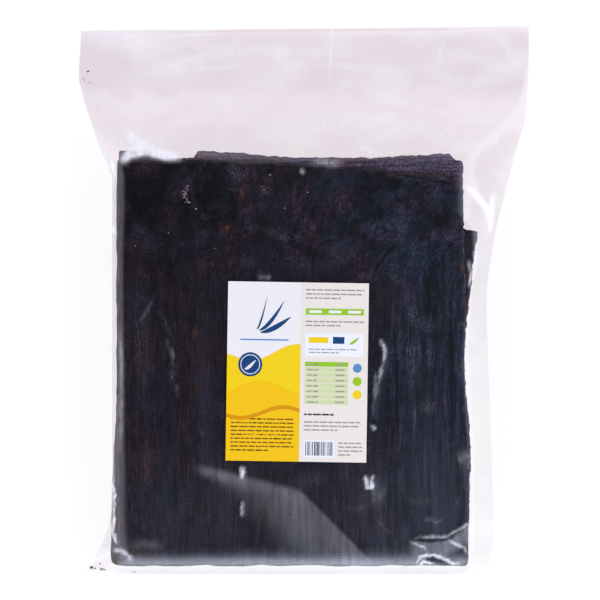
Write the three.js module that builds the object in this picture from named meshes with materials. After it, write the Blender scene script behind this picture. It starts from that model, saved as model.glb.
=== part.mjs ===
// A sealed clear bag of pressed dried seaweed sheets, lying on its back with the labelled side up.
// Sizes are in millimetres. +X is the label's right, +Y the sealed top of the bag, and z = 0 the floor.
import * as THREE from 'three';

// The pack of pressed sheets inside the bag.
const STACK_HEIGHT = 58;
const STACK_LEFT = -160;
const STACK_RIGHT = 139;
const STACK_TOP = 124;
const STACK_BOTTOM = -221;
const CROWN = 1.2;

// Waves as rows of rise, pitch across, pitch up and phase.
const RIDGES = [
  [0.62, 9.5, 70, 0],
  [0.46, 16, -95, 0.8],
  [0.3, 27, 45, 2.1],
];
const SWELLS = [
  [0.66, 19, 31, 0],
  [0.53, -37, 15, 0],
];
const HEADER_WAVES = [
  [0.5, 23, 11, 0],
  [0.4, 41, -16, 2],
];
const LIP_WAVES = [[0.4, 26, 300, 0.7]];

// Where the ridges give way to the swells.
const SWELLS_START = 35;
const SWELLS_FULL = 85;

// Right edge of the stack's highest sheets as pairs of y and x: some stick out further.
const STACK_RIGHT_EDGE = [
  [-239, 146],
  [-133, 147],
  [-52, 143],
  [0, 147],
  [40, 151],
  [58, 151],
  [76, 140],
  [124, 139],
];

// Side edges of the bag as pairs of y and x: straight header, sloping shoulders, body and bottom corners.
const LEFT_EDGE = [
  [-241, -193],
  [-230, -187],
  [-213, -177],
  [-190, -171],
  [-160, -169.5],
  [104, -169.5],
  [134, -181],
  [177, -196],
  [199, -201],
  [239, -199],
];
const RIGHT_EDGE = [
  [-239, 163],
  [-210, 167],
  [-100, 164],
  [0, 161],
  [48, 167],
  [105, 181],
  [141, 191],
  [165, 198],
  [243, 201],
];

// How far in from the left edge the film turns over, as pairs of y and reach.
const LEFT_ROUND = [
  [-241, 40],
  [-213, 27],
  [-190, 19],
  [-160, 16],
  [104, 16],
  [199, 8],
];

// Height of the side welds above the floor as pairs of y and z.
const LEFT_WELD = [
  [-241, 9],
  [-215, 19],
  [-175, 26],
  [88, 26],
  [150, 9],
  [194, 0],
  [243, 0],
];
const RIGHT_WELD = [
  [-239, 21],
  [-190, 26],
  [25, 26],
  [95, 15],
  [165, 3],
  [194, 0],
  [243, 0],
];

// Bottom edge as pairs of share of the width and y, with the height of its fold.
const BOTTOM_EDGE = [
  [0, -241],
  [0.1, -243],
  [0.9, -243],
  [1, -239],
];
const BOTTOM_FOLD = [
  [0, 9],
  [0.14, 22],
  [0.85, 23],
  [1, 21],
];

// Flat top of the bag: the weld band and the two loose lips above it.
const HEADER_START = 193;
const HEADER_HEIGHT = 3.2;
const WELD_LOW = 213;
const WELD_APPROACH = 12;
const WELD_HIGH = 222;
const LIP_LEFT = 239;
const LIP_RIGHT = 243;
const LIP_OPENING = 0.8;
const CREASE_X = 28;
const CREASE_RISE = 0.8;
const CREASE_REACH = 15;

// Film at its edges, and how tightly it wraps the stack.
const RIM = 1;
const FILM_ROUNDING = 11;
const HEADER_ROUNDING = 0.5;
const HEADER_ROUNDING_LOW = 165;
const HEADER_ROUNDING_HIGH = 205;
const SHOULDER_POWER = 1.5;
const BOTTOM_ROUND = 22;
const ROUND_POWER = 0.5;
const CORNER_POWER = 1.5;
const SHOULDER_EDGE_POWER = 1;
const CORNER_LOW = -234;
const CORNER_HIGH = -196;

// How far in from its edges the back film is lifted off the floor.
const BACK_REACH = 13;
const BACK_REACH_RIGHT = 19;
const BACK_REACH_CORNER = 28;
const BACK_REACH_SHOULDER = 34;
const BACK_SHOULDER_LOW = 95;
const BACK_SHOULDER_HIGH = 150;
const BACK_POWER = 1.5;

// Pleats that fan out from the stack's upper corners, and the distances over which they come and go.
const PLEAT_RISE = 0.7;
const PLEAT_COUNT = 11;
const PLEAT_START = 8;
const PLEAT_FULL = 30;
const PLEAT_FADE = 60;
const PLEAT_END = 130;
const PLEAT_SHARE = 0.3;

// Loose flap of film folded over the lower right corner.
const FLAP_LEFT = 88;
const FLAP_LOW = -211;
const FLAP_HIGH = -194;
const FLAP_STEP = 1.3;
const FLAP_SLOPE = 0.13;
const FLAP_DEPTH = 16;
const FLAP_TAPER = 14;
const FLAP_BEND_START = 118;
const FLAP_BEND_END = 154;
const FLAP_FOLD = 1.8;

// Paper label stuck on the front.
const LABEL_WIDTH = 122.5;
const LABEL_LENGTH = 156;
const LABEL_X = -6;
const LABEL_Y = -63.5;
const LABEL_TURN = -0.9;
const LABEL_THICK = 0.35;
const LABEL_GAP = 0.3;
const LABEL_MARGIN = 6;
const LABEL_CALM = 16;

// How finely each sheet is divided: rows in each band from the bottom to the top, and columns across.
const BAND_BOTTOM = -209;
const BAND_SHOULDER = 112;
const ROWS_BOTTOM = 8;
const ROWS_STACK = 20;
const ROWS_SHOULDER = 10;
const ROWS_HEADER = 3;
const ROWS_WELD = 2;
const ROWS_LIP = 4;
const COLUMNS = 42;
const EDGE_CROWDING = 0.62;
const LABEL_COLUMNS = 8;
const LABEL_ROWS = 10;

const { clamp, lerp, smoothstep, degToRad } = THREE.MathUtils;

// Slope at one station of a smooth curve that never overshoots its stations.
function stationSlope(stations, index) {
  if (index === 0 || index === stations.length - 1) {
    return 0;
  }
  const [before, here, after] = stations.slice(index - 1, index + 2);
  const back = (here[1] - before[1]) / (here[0] - before[0]);
  const ahead = (after[1] - here[1]) / (after[0] - here[0]);
  return back * ahead > 0 ? (2 * back * ahead) / (back + ahead) : 0;
}

// Value of a smooth curve through a few stations.
function along(stations, at) {
  const last = stations.length - 1;
  const place = clamp(at, stations[0][0], stations[last][0]);
  let index = 0;
  while (index < last - 1 && place > stations[index + 1][0]) {
    index += 1;
  }
  const [startAt, startValue] = stations[index];
  const [endAt, endValue] = stations[index + 1];
  const span = endAt - startAt;
  const t = (place - startAt) / span;
  const rise = t * t * (3 - 2 * t);
  const leave = t * (1 - t) * (1 - t) * span * stationSlope(stations, index);
  const arrive = t * t * (t - 1) * span * stationSlope(stations, index + 1);
  return lerp(startValue, endValue, rise) + leave + arrive;
}

// The lower of two heights, rounded where they meet.
function roundedLower(a, b, rounding) {
  const overlap = Math.max(rounding - Math.abs(a - b), 0) / rounding;
  return Math.min(a, b) - (overlap * overlap * rounding) / 4;
}

// A smooth hump of height one at the centre that reaches zero at the given reach.
function hump(distance, reach) {
  return 1 - smoothstep(Math.abs(distance), 0, reach);
}

// Sum of a few waves at a place.
function waves(rows, x, y) {
  let sum = 0;
  for (const [rise, across, up, phase] of rows) {
    sum += rise * Math.sin(x / across + y / up + phase);
  }
  return sum;
}

// Share of its full height that the film has at a share of the way in from an edge, level at the top.
function edgeRise(from, power) {
  const inside = clamp(from, 0, 1);
  return (inside * (2 - inside)) ** power;
}

// Position of a point in the label's own turned axes.
function labelAxes(x, y) {
  const turn = degToRad(LABEL_TURN);
  const dx = x - LABEL_X;
  const dy = y - LABEL_Y;
  return [dx * Math.cos(turn) + dy * Math.sin(turn), dy * Math.cos(turn) - dx * Math.sin(turn)];
}

// One away from the label, and zero where its stiff paper holds the film smooth.
function labelCalm(x, y) {
  const [across, up] = labelAxes(x, y);
  const outside = Math.max(Math.abs(across) - LABEL_WIDTH / 2, Math.abs(up) - LABEL_LENGTH / 2);
  return smoothstep(outside, LABEL_MARGIN, LABEL_MARGIN + LABEL_CALM);
}

// Broad crown of the pressed stack.
function crown(x, y) {
  const across = (x - (STACK_LEFT + STACK_RIGHT) / 2) / (STACK_RIGHT - STACK_LEFT);
  const up = (y - (STACK_TOP + STACK_BOTTOM) / 2) / (STACK_TOP - STACK_BOTTOM);
  return CROWN * (1 - 2 * across * across - 2 * up * up);
}

// Long ridges of the leaves down the stack, with rounder swells across its upper third.
function ridges(x, y) {
  const share = smoothstep(y, SWELLS_START, SWELLS_FULL);
  return lerp(waves(RIDGES, x, y), waves(SWELLS, x, y), share);
}

// Flap of loose film over the lower right corner: a step up along its slanting fold line, then a slope down.
function flapRise(x, y) {
  const foldLine = lerp(FLAP_LOW, FLAP_HIGH, smoothstep(x, FLAP_BEND_START, FLAP_BEND_END));
  const step = FLAP_STEP * smoothstep(foldLine - y, -FLAP_FOLD, FLAP_FOLD);
  const slope = FLAP_SLOPE * clamp(foldLine - y, 0, FLAP_DEPTH);
  return (step - slope) * smoothstep(x, FLAP_LEFT, FLAP_LEFT + FLAP_TAPER);
}

// Small waves of the flat film at the top of the bag, and one upright crease through them.
function headerRipple(x, y) {
  return waves(HEADER_WAVES, x, y) + CREASE_RISE * hump(x - CREASE_X, CREASE_REACH);
}

// Pleats of the shoulder, fanning out from the stack's two upper corners to the flat top.
function pleats(x, y) {
  const side = x < (STACK_LEFT + STACK_RIGHT) / 2 ? STACK_LEFT : STACK_RIGHT;
  const reach = Math.hypot(x - side, y - STACK_TOP);
  const angle = Math.atan2(y - STACK_TOP, Math.abs(x - side) + 1);
  const near = smoothstep(reach, PLEAT_START, PLEAT_FULL);
  const far = 1 - smoothstep(reach, PLEAT_FADE, PLEAT_END);
  return PLEAT_RISE * near * far * Math.sin(PLEAT_COUNT * angle);
}

// Film over the flat top: puffed below the weld band, pressed flat in it, and opening above it.
function headerFront(x, y) {
  const puff = HEADER_HEIGHT - RIM + headerRipple(x, y);
  const below = puff * (1 - smoothstep(y, WELD_LOW - WELD_APPROACH, WELD_LOW));
  const opening = LIP_OPENING + waves(LIP_WAVES, x, y);
  return RIM + below + opening * smoothstep(y, WELD_HIGH, LIP_RIGHT);
}

// How full the film is along the left edge: thin at the corner flange, and a quarter round beside the stack.
function leftPower(y) {
  const body = lerp(CORNER_POWER, ROUND_POWER, smoothstep(y, CORNER_LOW, CORNER_HIGH));
  return lerp(body, SHOULDER_EDGE_POWER, smoothstep(y, BACK_SHOULDER_LOW, BACK_SHOULDER_HIGH));
}

// How softly the film turns over the stack's edges: hardly at all in the flat top.
function filmRounding(y) {
  return lerp(FILM_ROUNDING, HEADER_ROUNDING, smoothstep(y, HEADER_ROUNDING_LOW, HEADER_ROUNDING_HIGH));
}

// Height of the front film at a place of the bag; share is how far across the width the place is.
function frontHeight(x, y, share) {
  const rightEdge = along(RIGHT_EDGE, y);
  const fromRight = Math.max(rightEdge - x, 0) / (rightEdge - along(STACK_RIGHT_EDGE, y));
  const rightFoot = along(RIGHT_WELD, y) + RIM;
  const right = rightFoot + (STACK_HEIGHT - rightFoot) * fromRight;
  const header = headerFront(x, y);
  const fromHeader = Math.max(HEADER_START - y, 0) / (HEADER_START - STACK_TOP);
  const slope = (STACK_HEIGHT - header) * fromHeader ** SHOULDER_POWER;
  const shoulder = header + slope + pleats(x, y) * smoothstep(fromHeader, 0, PLEAT_SHARE);
  const body = STACK_HEIGHT + crown(x, y) + ridges(x, y) * labelCalm(x, y) + flapRise(x, y);
  const rounding = filmRounding(y);
  const top = roundedLower(body, roundedLower(right, shoulder, rounding), rounding);
  const fromLeft = (x - along(LEFT_EDGE, y)) / along(LEFT_ROUND, y);
  const fromBottom = (y - along(BOTTOM_EDGE, share)) / BOTTOM_ROUND;
  const leftFall = (top - along(LEFT_WELD, y) - RIM) * (1 - edgeRise(fromLeft, leftPower(y)));
  const bottomFall = (top - along(BOTTOM_FOLD, share) - RIM) * (1 - edgeRise(fromBottom, ROUND_POWER));
  return top - Math.hypot(leftFall, bottomFall);
}

// Height of the back film: on the floor under the stack, and raised to the welds around it.
function backHeight(x, y, share) {
  const shoulder = smoothstep(y, BACK_SHOULDER_LOW, BACK_SHOULDER_HIGH);
  const body = lerp(BACK_REACH_CORNER, BACK_REACH, smoothstep(y, CORNER_LOW, CORNER_HIGH));
  const leftReach = lerp(body, BACK_REACH_SHOULDER, shoulder);
  const rightReach = lerp(BACK_REACH_RIGHT, BACK_REACH_SHOULDER, shoulder);
  const fromLeft = clamp(1 - (x - along(LEFT_EDGE, y)) / leftReach, 0, 1);
  const fromRight = clamp(1 - (along(RIGHT_EDGE, y) - x) / rightReach, 0, 1);
  const fromBottom = clamp(1 - (y - along(BOTTOM_EDGE, share)) / BACK_REACH, 0, 1);
  const left = along(LEFT_WELD, y) * fromLeft ** BACK_POWER;
  const right = along(RIGHT_WELD, y) * fromRight ** BACK_POWER;
  const bottom = along(BOTTOM_FOLD, share) * fromBottom ** BACK_POWER;
  return Math.max(left, right, bottom);
}

// Shares across the width, crowded towards the two side edges where the film turns down.
function columnShares() {
  return Array.from({ length: COLUMNS + 1 }, (_, index) => {
    const even = index / COLUMNS;
    const crowded = 0.5 - 0.5 * Math.cos(Math.PI * even);
    return lerp(even, crowded, EDGE_CROWDING);
  });
}

// Values of y up one column, band by band, from the bottom edge to the lips.
function columnHeights(share) {
  const lip = lerp(LIP_LEFT, LIP_RIGHT, share);
  const bands = [
    [along(BOTTOM_EDGE, share), BAND_BOTTOM, ROWS_BOTTOM],
    [BAND_BOTTOM, BAND_SHOULDER, ROWS_STACK],
    [BAND_SHOULDER, HEADER_START, ROWS_SHOULDER],
    [HEADER_START, WELD_LOW, ROWS_HEADER],
    [WELD_LOW, WELD_HIGH, ROWS_WELD],
    [WELD_HIGH, lip, ROWS_LIP],
  ];
  const heights = [bands[0][0]];
  for (const [start, end, rows] of bands) {
    for (let row = 1; row <= rows; row += 1) {
      heights.push(lerp(start, end, row / rows));
    }
  }
  return heights;
}

// A closed thin body from two sheets of points of the same grid, front and back, joined round the rim.
function sheetBody(columns, rows, frontPoint, backPoint) {
  const positions = [];
  const faces = [];
  const stride = rows + 1;
  const layer = (columns + 1) * stride;
  for (const point of [frontPoint, backPoint]) {
    for (let column = 0; column <= columns; column += 1) {
      for (let row = 0; row <= rows; row += 1) {
        positions.push(...point(column, row));
      }
    }
  }
  const quad = (a, b, c, d) => faces.push(a, b, c, a, c, d);
  for (let column = 0; column < columns; column += 1) {
    for (let row = 0; row < rows; row += 1) {
      const a = column * stride + row;
      const b = a + stride;
      quad(a, b, b + 1, a + 1);
      faces.push(layer + a, layer + b + 1, layer + b);
      faces.push(layer + a, layer + a + 1, layer + b + 1);
    }
    const low = column * stride;
    quad(low, layer + low, layer + low + stride, low + stride);
    const high = low + rows;
    quad(high + stride, layer + high + stride, layer + high, high);
  }
  for (let row = 0; row < rows; row += 1) {
    quad(row + 1, layer + row + 1, layer + row, row);
    const right = columns * stride + row;
    quad(right, layer + right, layer + right + 1, right + 1);
  }
  const geometry = new THREE.BufferGeometry();
  geometry.setAttribute('position', new THREE.Float32BufferAttribute(positions, 3));
  geometry.setIndex(faces);
  geometry.computeVertexNormals();
  return geometry;
}

// The bag with the stack in it, as one body under the film.
function bagBody() {
  const shares = columnShares();
  const heights = shares.map(columnHeights);
  const place = (column, row) => {
    const y = heights[column][row];
    const x = lerp(along(LEFT_EDGE, y), along(RIGHT_EDGE, y), shares[column]);
    return [x, y, backHeight(x, y, shares[column])];
  };
  const front = (column, row) => {
    const [x, y, back] = place(column, row);
    return [x, y, Math.max(frontHeight(x, y, shares[column]), back + RIM)];
  };
  return sheetBody(COLUMNS, heights[0].length - 1, front, place);
}

// The label, lying just over the film and following the crown of the stack.
function labelBody() {
  const turn = degToRad(LABEL_TURN);
  const point = (lift) => (column, row) => {
    const across = LABEL_WIDTH * (column / LABEL_COLUMNS - 0.5);
    const up = LABEL_LENGTH * (row / LABEL_ROWS - 0.5);
    const x = LABEL_X + across * Math.cos(turn) - up * Math.sin(turn);
    const y = LABEL_Y + up * Math.cos(turn) + across * Math.sin(turn);
    return [x, y, STACK_HEIGHT + crown(x, y) + lift];
  };
  return sheetBody(LABEL_COLUMNS, LABEL_ROWS, point(LABEL_GAP + LABEL_THICK), point(LABEL_GAP));
}

// A named piece with its own finish.
function piece(name, geometry, color, roughness) {
  const material = new THREE.MeshStandardMaterial({ color, roughness, metalness: 0 });
  const mesh = new THREE.Mesh(geometry, material);
  mesh.name = name;
  return mesh;
}

const pack = new THREE.Group();
pack.name = 'dried_seaweed_pack';
pack.add(piece('bag', bagBody(), 0x2b2a33, 0.25));
pack.add(piece('label', labelBody(), 0xe8e6e4, 0.6));

export default pack;
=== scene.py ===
"""Looks of a sealed clear bag of pressed dried wakame sheets with a printed paper label.

The pack lies on its back with the labelled side up. +X is the label's right, +Y the welded top of the bag and
z = 0 the floor. The classes keep their sizes in millimetres, and meshes are made in metres.
"""
import logging
import math
from dataclasses import dataclass
from enum import Enum
from typing import Callable, Sequence

import bpy
import numpy as np
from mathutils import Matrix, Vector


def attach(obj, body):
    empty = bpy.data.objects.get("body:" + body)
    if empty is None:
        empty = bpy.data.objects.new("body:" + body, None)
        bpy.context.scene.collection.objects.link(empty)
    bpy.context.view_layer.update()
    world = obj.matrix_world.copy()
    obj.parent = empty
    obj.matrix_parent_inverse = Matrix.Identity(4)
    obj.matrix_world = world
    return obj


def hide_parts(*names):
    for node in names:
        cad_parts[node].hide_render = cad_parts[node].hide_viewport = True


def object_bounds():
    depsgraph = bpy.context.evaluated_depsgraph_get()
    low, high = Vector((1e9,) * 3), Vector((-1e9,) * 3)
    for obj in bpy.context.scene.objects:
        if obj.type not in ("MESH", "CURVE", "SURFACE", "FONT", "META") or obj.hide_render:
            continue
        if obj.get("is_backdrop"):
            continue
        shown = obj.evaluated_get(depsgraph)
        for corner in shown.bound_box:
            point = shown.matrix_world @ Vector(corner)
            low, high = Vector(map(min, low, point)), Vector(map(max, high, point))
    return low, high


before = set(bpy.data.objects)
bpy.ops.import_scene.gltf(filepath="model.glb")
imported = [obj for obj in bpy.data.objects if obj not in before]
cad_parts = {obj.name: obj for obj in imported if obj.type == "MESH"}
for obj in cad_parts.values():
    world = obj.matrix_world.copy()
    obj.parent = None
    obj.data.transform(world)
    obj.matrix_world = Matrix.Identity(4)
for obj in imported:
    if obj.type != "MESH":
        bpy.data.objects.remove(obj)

CAD_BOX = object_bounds()
BODY = "root"
MM = 0.001
log = logging.getLogger("wakame_pack")

Array = np.ndarray
Colour = tuple[float, float, float]
Triple = tuple[float, float, float]
Point = tuple[float, float]
Range = tuple[float, float]
Remap = tuple[Range, Range]
Waves = tuple[tuple[float, float, float, float], ...]
Socket = bpy.types.NodeSocket
Material = bpy.types.Material
Piece = bpy.types.Object
NOISE_MIDDLE: Range = (0.3, 0.7)


def ease(value: Array, span: Range) -> Array:
    """Rise smoothly from zero at the start of a span to one at its end."""
    t = np.clip((value - span[0]) / (span[1] - span[0]), 0.0, 1.0)
    return t * t * (3 - 2 * t)


def fade(value: Array, span: Range) -> Array:
    """Fall smoothly from one at the start of a span to zero at its end."""
    return 1 - ease(value, span)


def lerp(start: Array, end: Array, share: Array) -> Array:
    """Return the value a share of the way from start to end."""
    return start + (end - start) * share


def hump(distance: Array, reach: float) -> Array:
    """Return a smooth hump: one at distance zero, and zero from reach on."""
    return fade(np.abs(distance), (0.0, reach))


def waves(rows: Waves, x: Array, y: Array) -> Array:
    """Sum a few waves, each given by its rise, pitch across, pitch up and phase."""
    return sum(rise * np.sin(x / across + y / up + phase) for rise, across, up, phase in rows)


def rounded_lower(a: Array, b: Array, rounding: Array) -> Array:
    """Return the lower of two heights, rounded where they differ by less than the rounding."""
    overlap = np.maximum(rounding - np.abs(a - b), 0.0) / rounding
    return np.minimum(a, b) - overlap * overlap * rounding / 4


def edge_rise(share: Array, power: Array) -> Array:
    """Return the share of its full height that film has, at a share of the way in from its edge."""
    inside = np.clip(share, 0.0, 1.0)
    return (inside * (2 - inside)) ** power


def opaque(colour: Colour) -> tuple[float, float, float, float]:
    """Return a colour with full alpha."""
    return (*colour, 1.0)


class Curve:
    """A smooth curve through a few stations that never overshoots them."""

    def __init__(self, *stations: Point) -> None:
        """Keep the stations in order, each a place and the curve's value there."""
        self.stations = stations

    def moved(self, by: float) -> "Curve":
        """Return the curve with all its values moved by an amount."""
        return Curve(*((place, value + by) for place, value in self.stations))

    def __call__(self, at: Array) -> Array:
        """Read the curve.

        Args:
            at: Places to read; places past the ends take the end values.

        Returns:
            The curve's value at each place.
        """
        places, values = np.array(self.stations, float).T
        steps = np.diff(values) / np.diff(places)
        turns = steps[:-1] * steps[1:] > 0.0
        sums = np.where(turns, steps[:-1] + steps[1:], 1.0)
        slopes = np.zeros(len(places))
        slopes[1:-1] = np.where(turns, 2 * steps[:-1] * steps[1:] / sums, 0.0)
        at = np.clip(at, places[0], places[-1])
        index = np.clip(np.searchsorted(places, at) - 1, 0, len(places) - 2)
        span = places[index + 1] - places[index]
        t = (at - places[index]) / span
        rise = t * t * (3 - 2 * t)
        leave = t * (1 - t) ** 2 * span * slopes[index]
        arrive = t * t * (t - 1) * span * slopes[index + 1]
        return lerp(values[index], values[index + 1], rise) + leave + arrive


class LatticeNoise:
    """Smooth seeded noise over a repeating square lattice."""

    SIZE = 64
    OCTAVE_SHIFT: Point = (7.3, 3.1)

    def __init__(self, seed: int) -> None:
        """Draw the lattice values from a seeded generator."""
        self._values = np.random.default_rng(seed).uniform(-1.0, 1.0, (self.SIZE, self.SIZE))

    def __call__(self, x: Array, y: Array) -> Array:
        """Read the noise.

        Args:
            x: First coordinate, in lattice cells.
            y: Second coordinate, in lattice cells.

        Returns:
            Noise between minus one and one.
        """
        column = np.floor(x).astype(int)
        row = np.floor(y).astype(int)
        across, up = ease(x - column, (0.0, 1.0)), ease(y - row, (0.0, 1.0))
        left, right = column % self.SIZE, (column + 1) % self.SIZE
        below, above = row % self.SIZE, (row + 1) % self.SIZE
        low = lerp(self._values[left, below], self._values[right, below], across)
        high = lerp(self._values[left, above], self._values[right, above], across)
        return lerp(low, high, up)

    def fractal(self, x: Array, y: Array, octaves: int = 3) -> Array:
        """Sum several octaves of the noise.

        Args:
            x: First coordinate, in cells of the widest octave.
            y: Second coordinate, in cells of the widest octave.
            octaves: How many octaves, each half as wide and half as strong.

        Returns:
            The summed noise.
        """
        x, y = np.broadcast_arrays(np.asarray(x, float), np.asarray(y, float))
        total = np.zeros(x.shape)
        shift_x, shift_y = self.OCTAVE_SHIFT
        for octave in range(octaves):
            finer = 2**octave
            total += self(x * finer + shift_x * octave, y * finer + shift_y * octave) / finer
        return total


@dataclass(frozen=True)
class Ripple:
    """One layer of noise over a sheet: its strength, cell sizes, octaves, and shift in cells."""

    strength: float
    across: float
    up: float
    octaves: int = 3
    shift: Point = (0, 0)

    def at(self, noise: LatticeNoise, x: Array, y: Array) -> Array:
        """Return the layer's value at each place."""
        cell_x, cell_y = x / self.across + self.shift[0], y / self.up + self.shift[1]
        return self.strength * noise.fractal(cell_x, cell_y, self.octaves)


@dataclass(frozen=True)
class BagForm:
    """The pack's outer form: two sheets of film over a pressed stack."""

    stack_height: float = 58
    stack_left: float = -160
    stack_right: float = 139
    stack_top: float = 124
    stack_bottom: float = -221
    crown_rise: float = 1.2
    ridge_rows: Waves = ((0.62, 9.5, 70, 0), (0.46, 16, -95, 0.8), (0.3, 27, 45, 2.1))
    swell_rows: Waves = ((0.66, 19, 31, 0), (0.53, -37, 15, 0))
    header_rows: Waves = ((0.5, 23, 11, 0), (0.4, 41, -16, 2))
    lip_rows: Waves = ((0.4, 26, 300, 0.7),)
    stack_right_edge: Curve = Curve(
        (-239, 146), (-133, 147), (-52, 143), (0, 147), (40, 151), (58, 151), (76, 140), (124, 139)
    )
    left_edge: Curve = Curve(
        *((-241, -193), (-230, -187), (-213, -177), (-190, -171), (-160, -169.5)),
        *((104, -169.5), (134, -181), (177, -196), (199, -201), (239, -199)),
    )
    right_edge: Curve = Curve(
        *((-239, 163), (-210, 167), (-100, 164), (0, 161)),
        *((48, 167), (105, 181), (141, 191), (165, 198), (243, 201)),
    )
    left_round: Curve = Curve((-241, 40), (-213, 27), (-190, 19), (-160, 16), (104, 16), (199, 8))
    left_weld: Curve = Curve((-241, 9), (-215, 19), (-175, 26), (88, 26), (150, 9), (194, 0), (243, 0))
    right_weld: Curve = Curve((-239, 21), (-190, 26), (25, 26), (95, 15), (165, 3), (194, 0), (243, 0))
    bottom_edge: Curve = Curve((0, -241), (0.1, -243), (0.9, -243), (1, -239))
    bottom_fold: Curve = Curve((0, 9), (0.14, 22), (0.85, 23), (1, 21))
    swell_blend: Range = (35, 85)
    corner_blend: Range = (-234, -196)
    shoulder_blend: Range = (95, 150)
    header_blend: Range = (165, 205)
    header_start: float = 193
    header_height: float = 3.2
    weld_low: float = 213
    weld_high: float = 222
    weld_approach: float = 12
    lip_left: float = 239
    lip_right: float = 243
    lip_opening: float = 0.8
    crease_x: float = 28
    crease_rise: float = 0.8
    crease_reach: float = 15
    rim: float = 1
    film_rounding: float = 11
    header_rounding: float = 0.5
    shoulder_power: float = 1.5
    bottom_round: float = 22
    round_power: float = 0.5
    corner_power: float = 1.5
    shoulder_edge_power: float = 1
    back_reach: float = 13
    back_reach_right: float = 19
    back_reach_corner: float = 28
    back_reach_shoulder: float = 34
    back_power: float = 1.5
    pleat_rise: float = 0.7
    pleat_count: float = 11
    pleat_start: Range = (8, 30)
    pleat_end: Range = (60, 130)
    pleat_onset: Range = (0, 0.3)
    flap_left: Range = (88, 102)
    flap_bend: Range = (118, 154)
    flap_low: float = -211
    flap_high: float = -194
    flap_step: float = 1.3
    flap_slope: float = 0.13
    flap_depth: float = 16
    flap_fold: float = 1.8
    label_width: float = 122.5
    label_length: float = 156
    label_x: float = -6
    label_y: float = -63.5
    label_turn: float = -0.9
    label_thick: float = 0.35
    label_gap: float = 0.3
    label_calm: Range = (6, 22)

    def share(self, x: Array, y: Array) -> Array:
        """Return how far across the bag's width a place is, from zero at the left."""
        left = self.left_edge(y)
        return np.clip((x - left) / (self.right_edge(y) - left), 0.0, 1.0)

    def label_place(self, across: Array, up: Array) -> tuple[Array, Array]:
        """Return the x and y of a place given in the label's own turned axes."""
        turn = math.radians(self.label_turn)
        x = self.label_x + across * math.cos(turn) - up * math.sin(turn)
        return x, self.label_y + up * math.cos(turn) + across * math.sin(turn)

    def off_label(self, x: Array, y: Array, margin: Range) -> Array:
        """Tell places off the label from places that its stiff paper holds smooth.

        Args:
            x: Places across.
            y: Places up.
            margin: Distances from the label at which the film starts to be free, and is free.

        Returns:
            One where the film is free, and zero where the label holds it.
        """
        turn = math.radians(self.label_turn)
        dx, dy = x - self.label_x, y - self.label_y
        across = np.abs(dx * math.cos(turn) + dy * math.sin(turn)) - self.label_width / 2
        up = np.abs(dy * math.cos(turn) - dx * math.sin(turn)) - self.label_length / 2
        return ease(np.maximum(across, up), margin)

    def crown(self, x: Array, y: Array) -> Array:
        """Return the broad crown of the pressed stack."""
        across = (x - (self.stack_left + self.stack_right) / 2) / (self.stack_right - self.stack_left)
        up = (y - (self.stack_top + self.stack_bottom) / 2) / (self.stack_top - self.stack_bottom)
        return self.crown_rise * (1 - 2 * across * across - 2 * up * up)

    def ridges(self, x: Array, y: Array) -> Array:
        """Return the long ridges down the stack, with rounder swells across its upper third."""
        swollen = ease(y, self.swell_blend)
        return lerp(waves(self.ridge_rows, x, y), waves(self.swell_rows, x, y), swollen)

    def below_flap(self, x: Array, y: Array) -> Array:
        """Return how far below the fold line of the lower right flap a place is."""
        return lerp(self.flap_low, self.flap_high, ease(x, self.flap_bend)) - y

    def flap(self, x: Array, y: Array) -> Array:
        """Read the loose lower right flap: a step up at its fold, then a slope down.

        Args:
            x: Places across.
            y: Places up.

        Returns:
            The flap's rise.
        """
        below = self.below_flap(x, y)
        step = self.flap_step * ease(below, (-self.flap_fold, self.flap_fold))
        slope = self.flap_slope * np.clip(below, 0.0, self.flap_depth)
        return (step - slope) * ease(x, self.flap_left)

    def header(self, x: Array, y: Array) -> Array:
        """Read the film over the flat top: puffed, welded flat, then open at the lips.

        Args:
            x: Places across.
            y: Places up.

        Returns:
            Height above the floor.
        """
        ripple = waves(self.header_rows, x, y) + self.crease_rise * hump(x - self.crease_x, self.crease_reach)
        puff = self.header_height - self.rim + ripple
        below = puff * fade(y, (self.weld_low - self.weld_approach, self.weld_low))
        opening = self.lip_opening + waves(self.lip_rows, x, y)
        return self.rim + below + opening * ease(y, (self.weld_high, self.lip_right))

    def pleats(self, x: Array, y: Array) -> Array:
        """Read the pleats that fan out from the stack's two upper corners.

        Args:
            x: Places across.
            y: Places up.

        Returns:
            The pleats' rise.
        """
        side = np.where(x < (self.stack_left + self.stack_right) / 2, self.stack_left, self.stack_right)
        reach = np.hypot(x - side, y - self.stack_top)
        angle = np.arctan2(y - self.stack_top, np.abs(x - side) + 1)
        share = ease(reach, self.pleat_start) * fade(reach, self.pleat_end)
        return self.pleat_rise * share * np.sin(self.pleat_count * angle)

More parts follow.
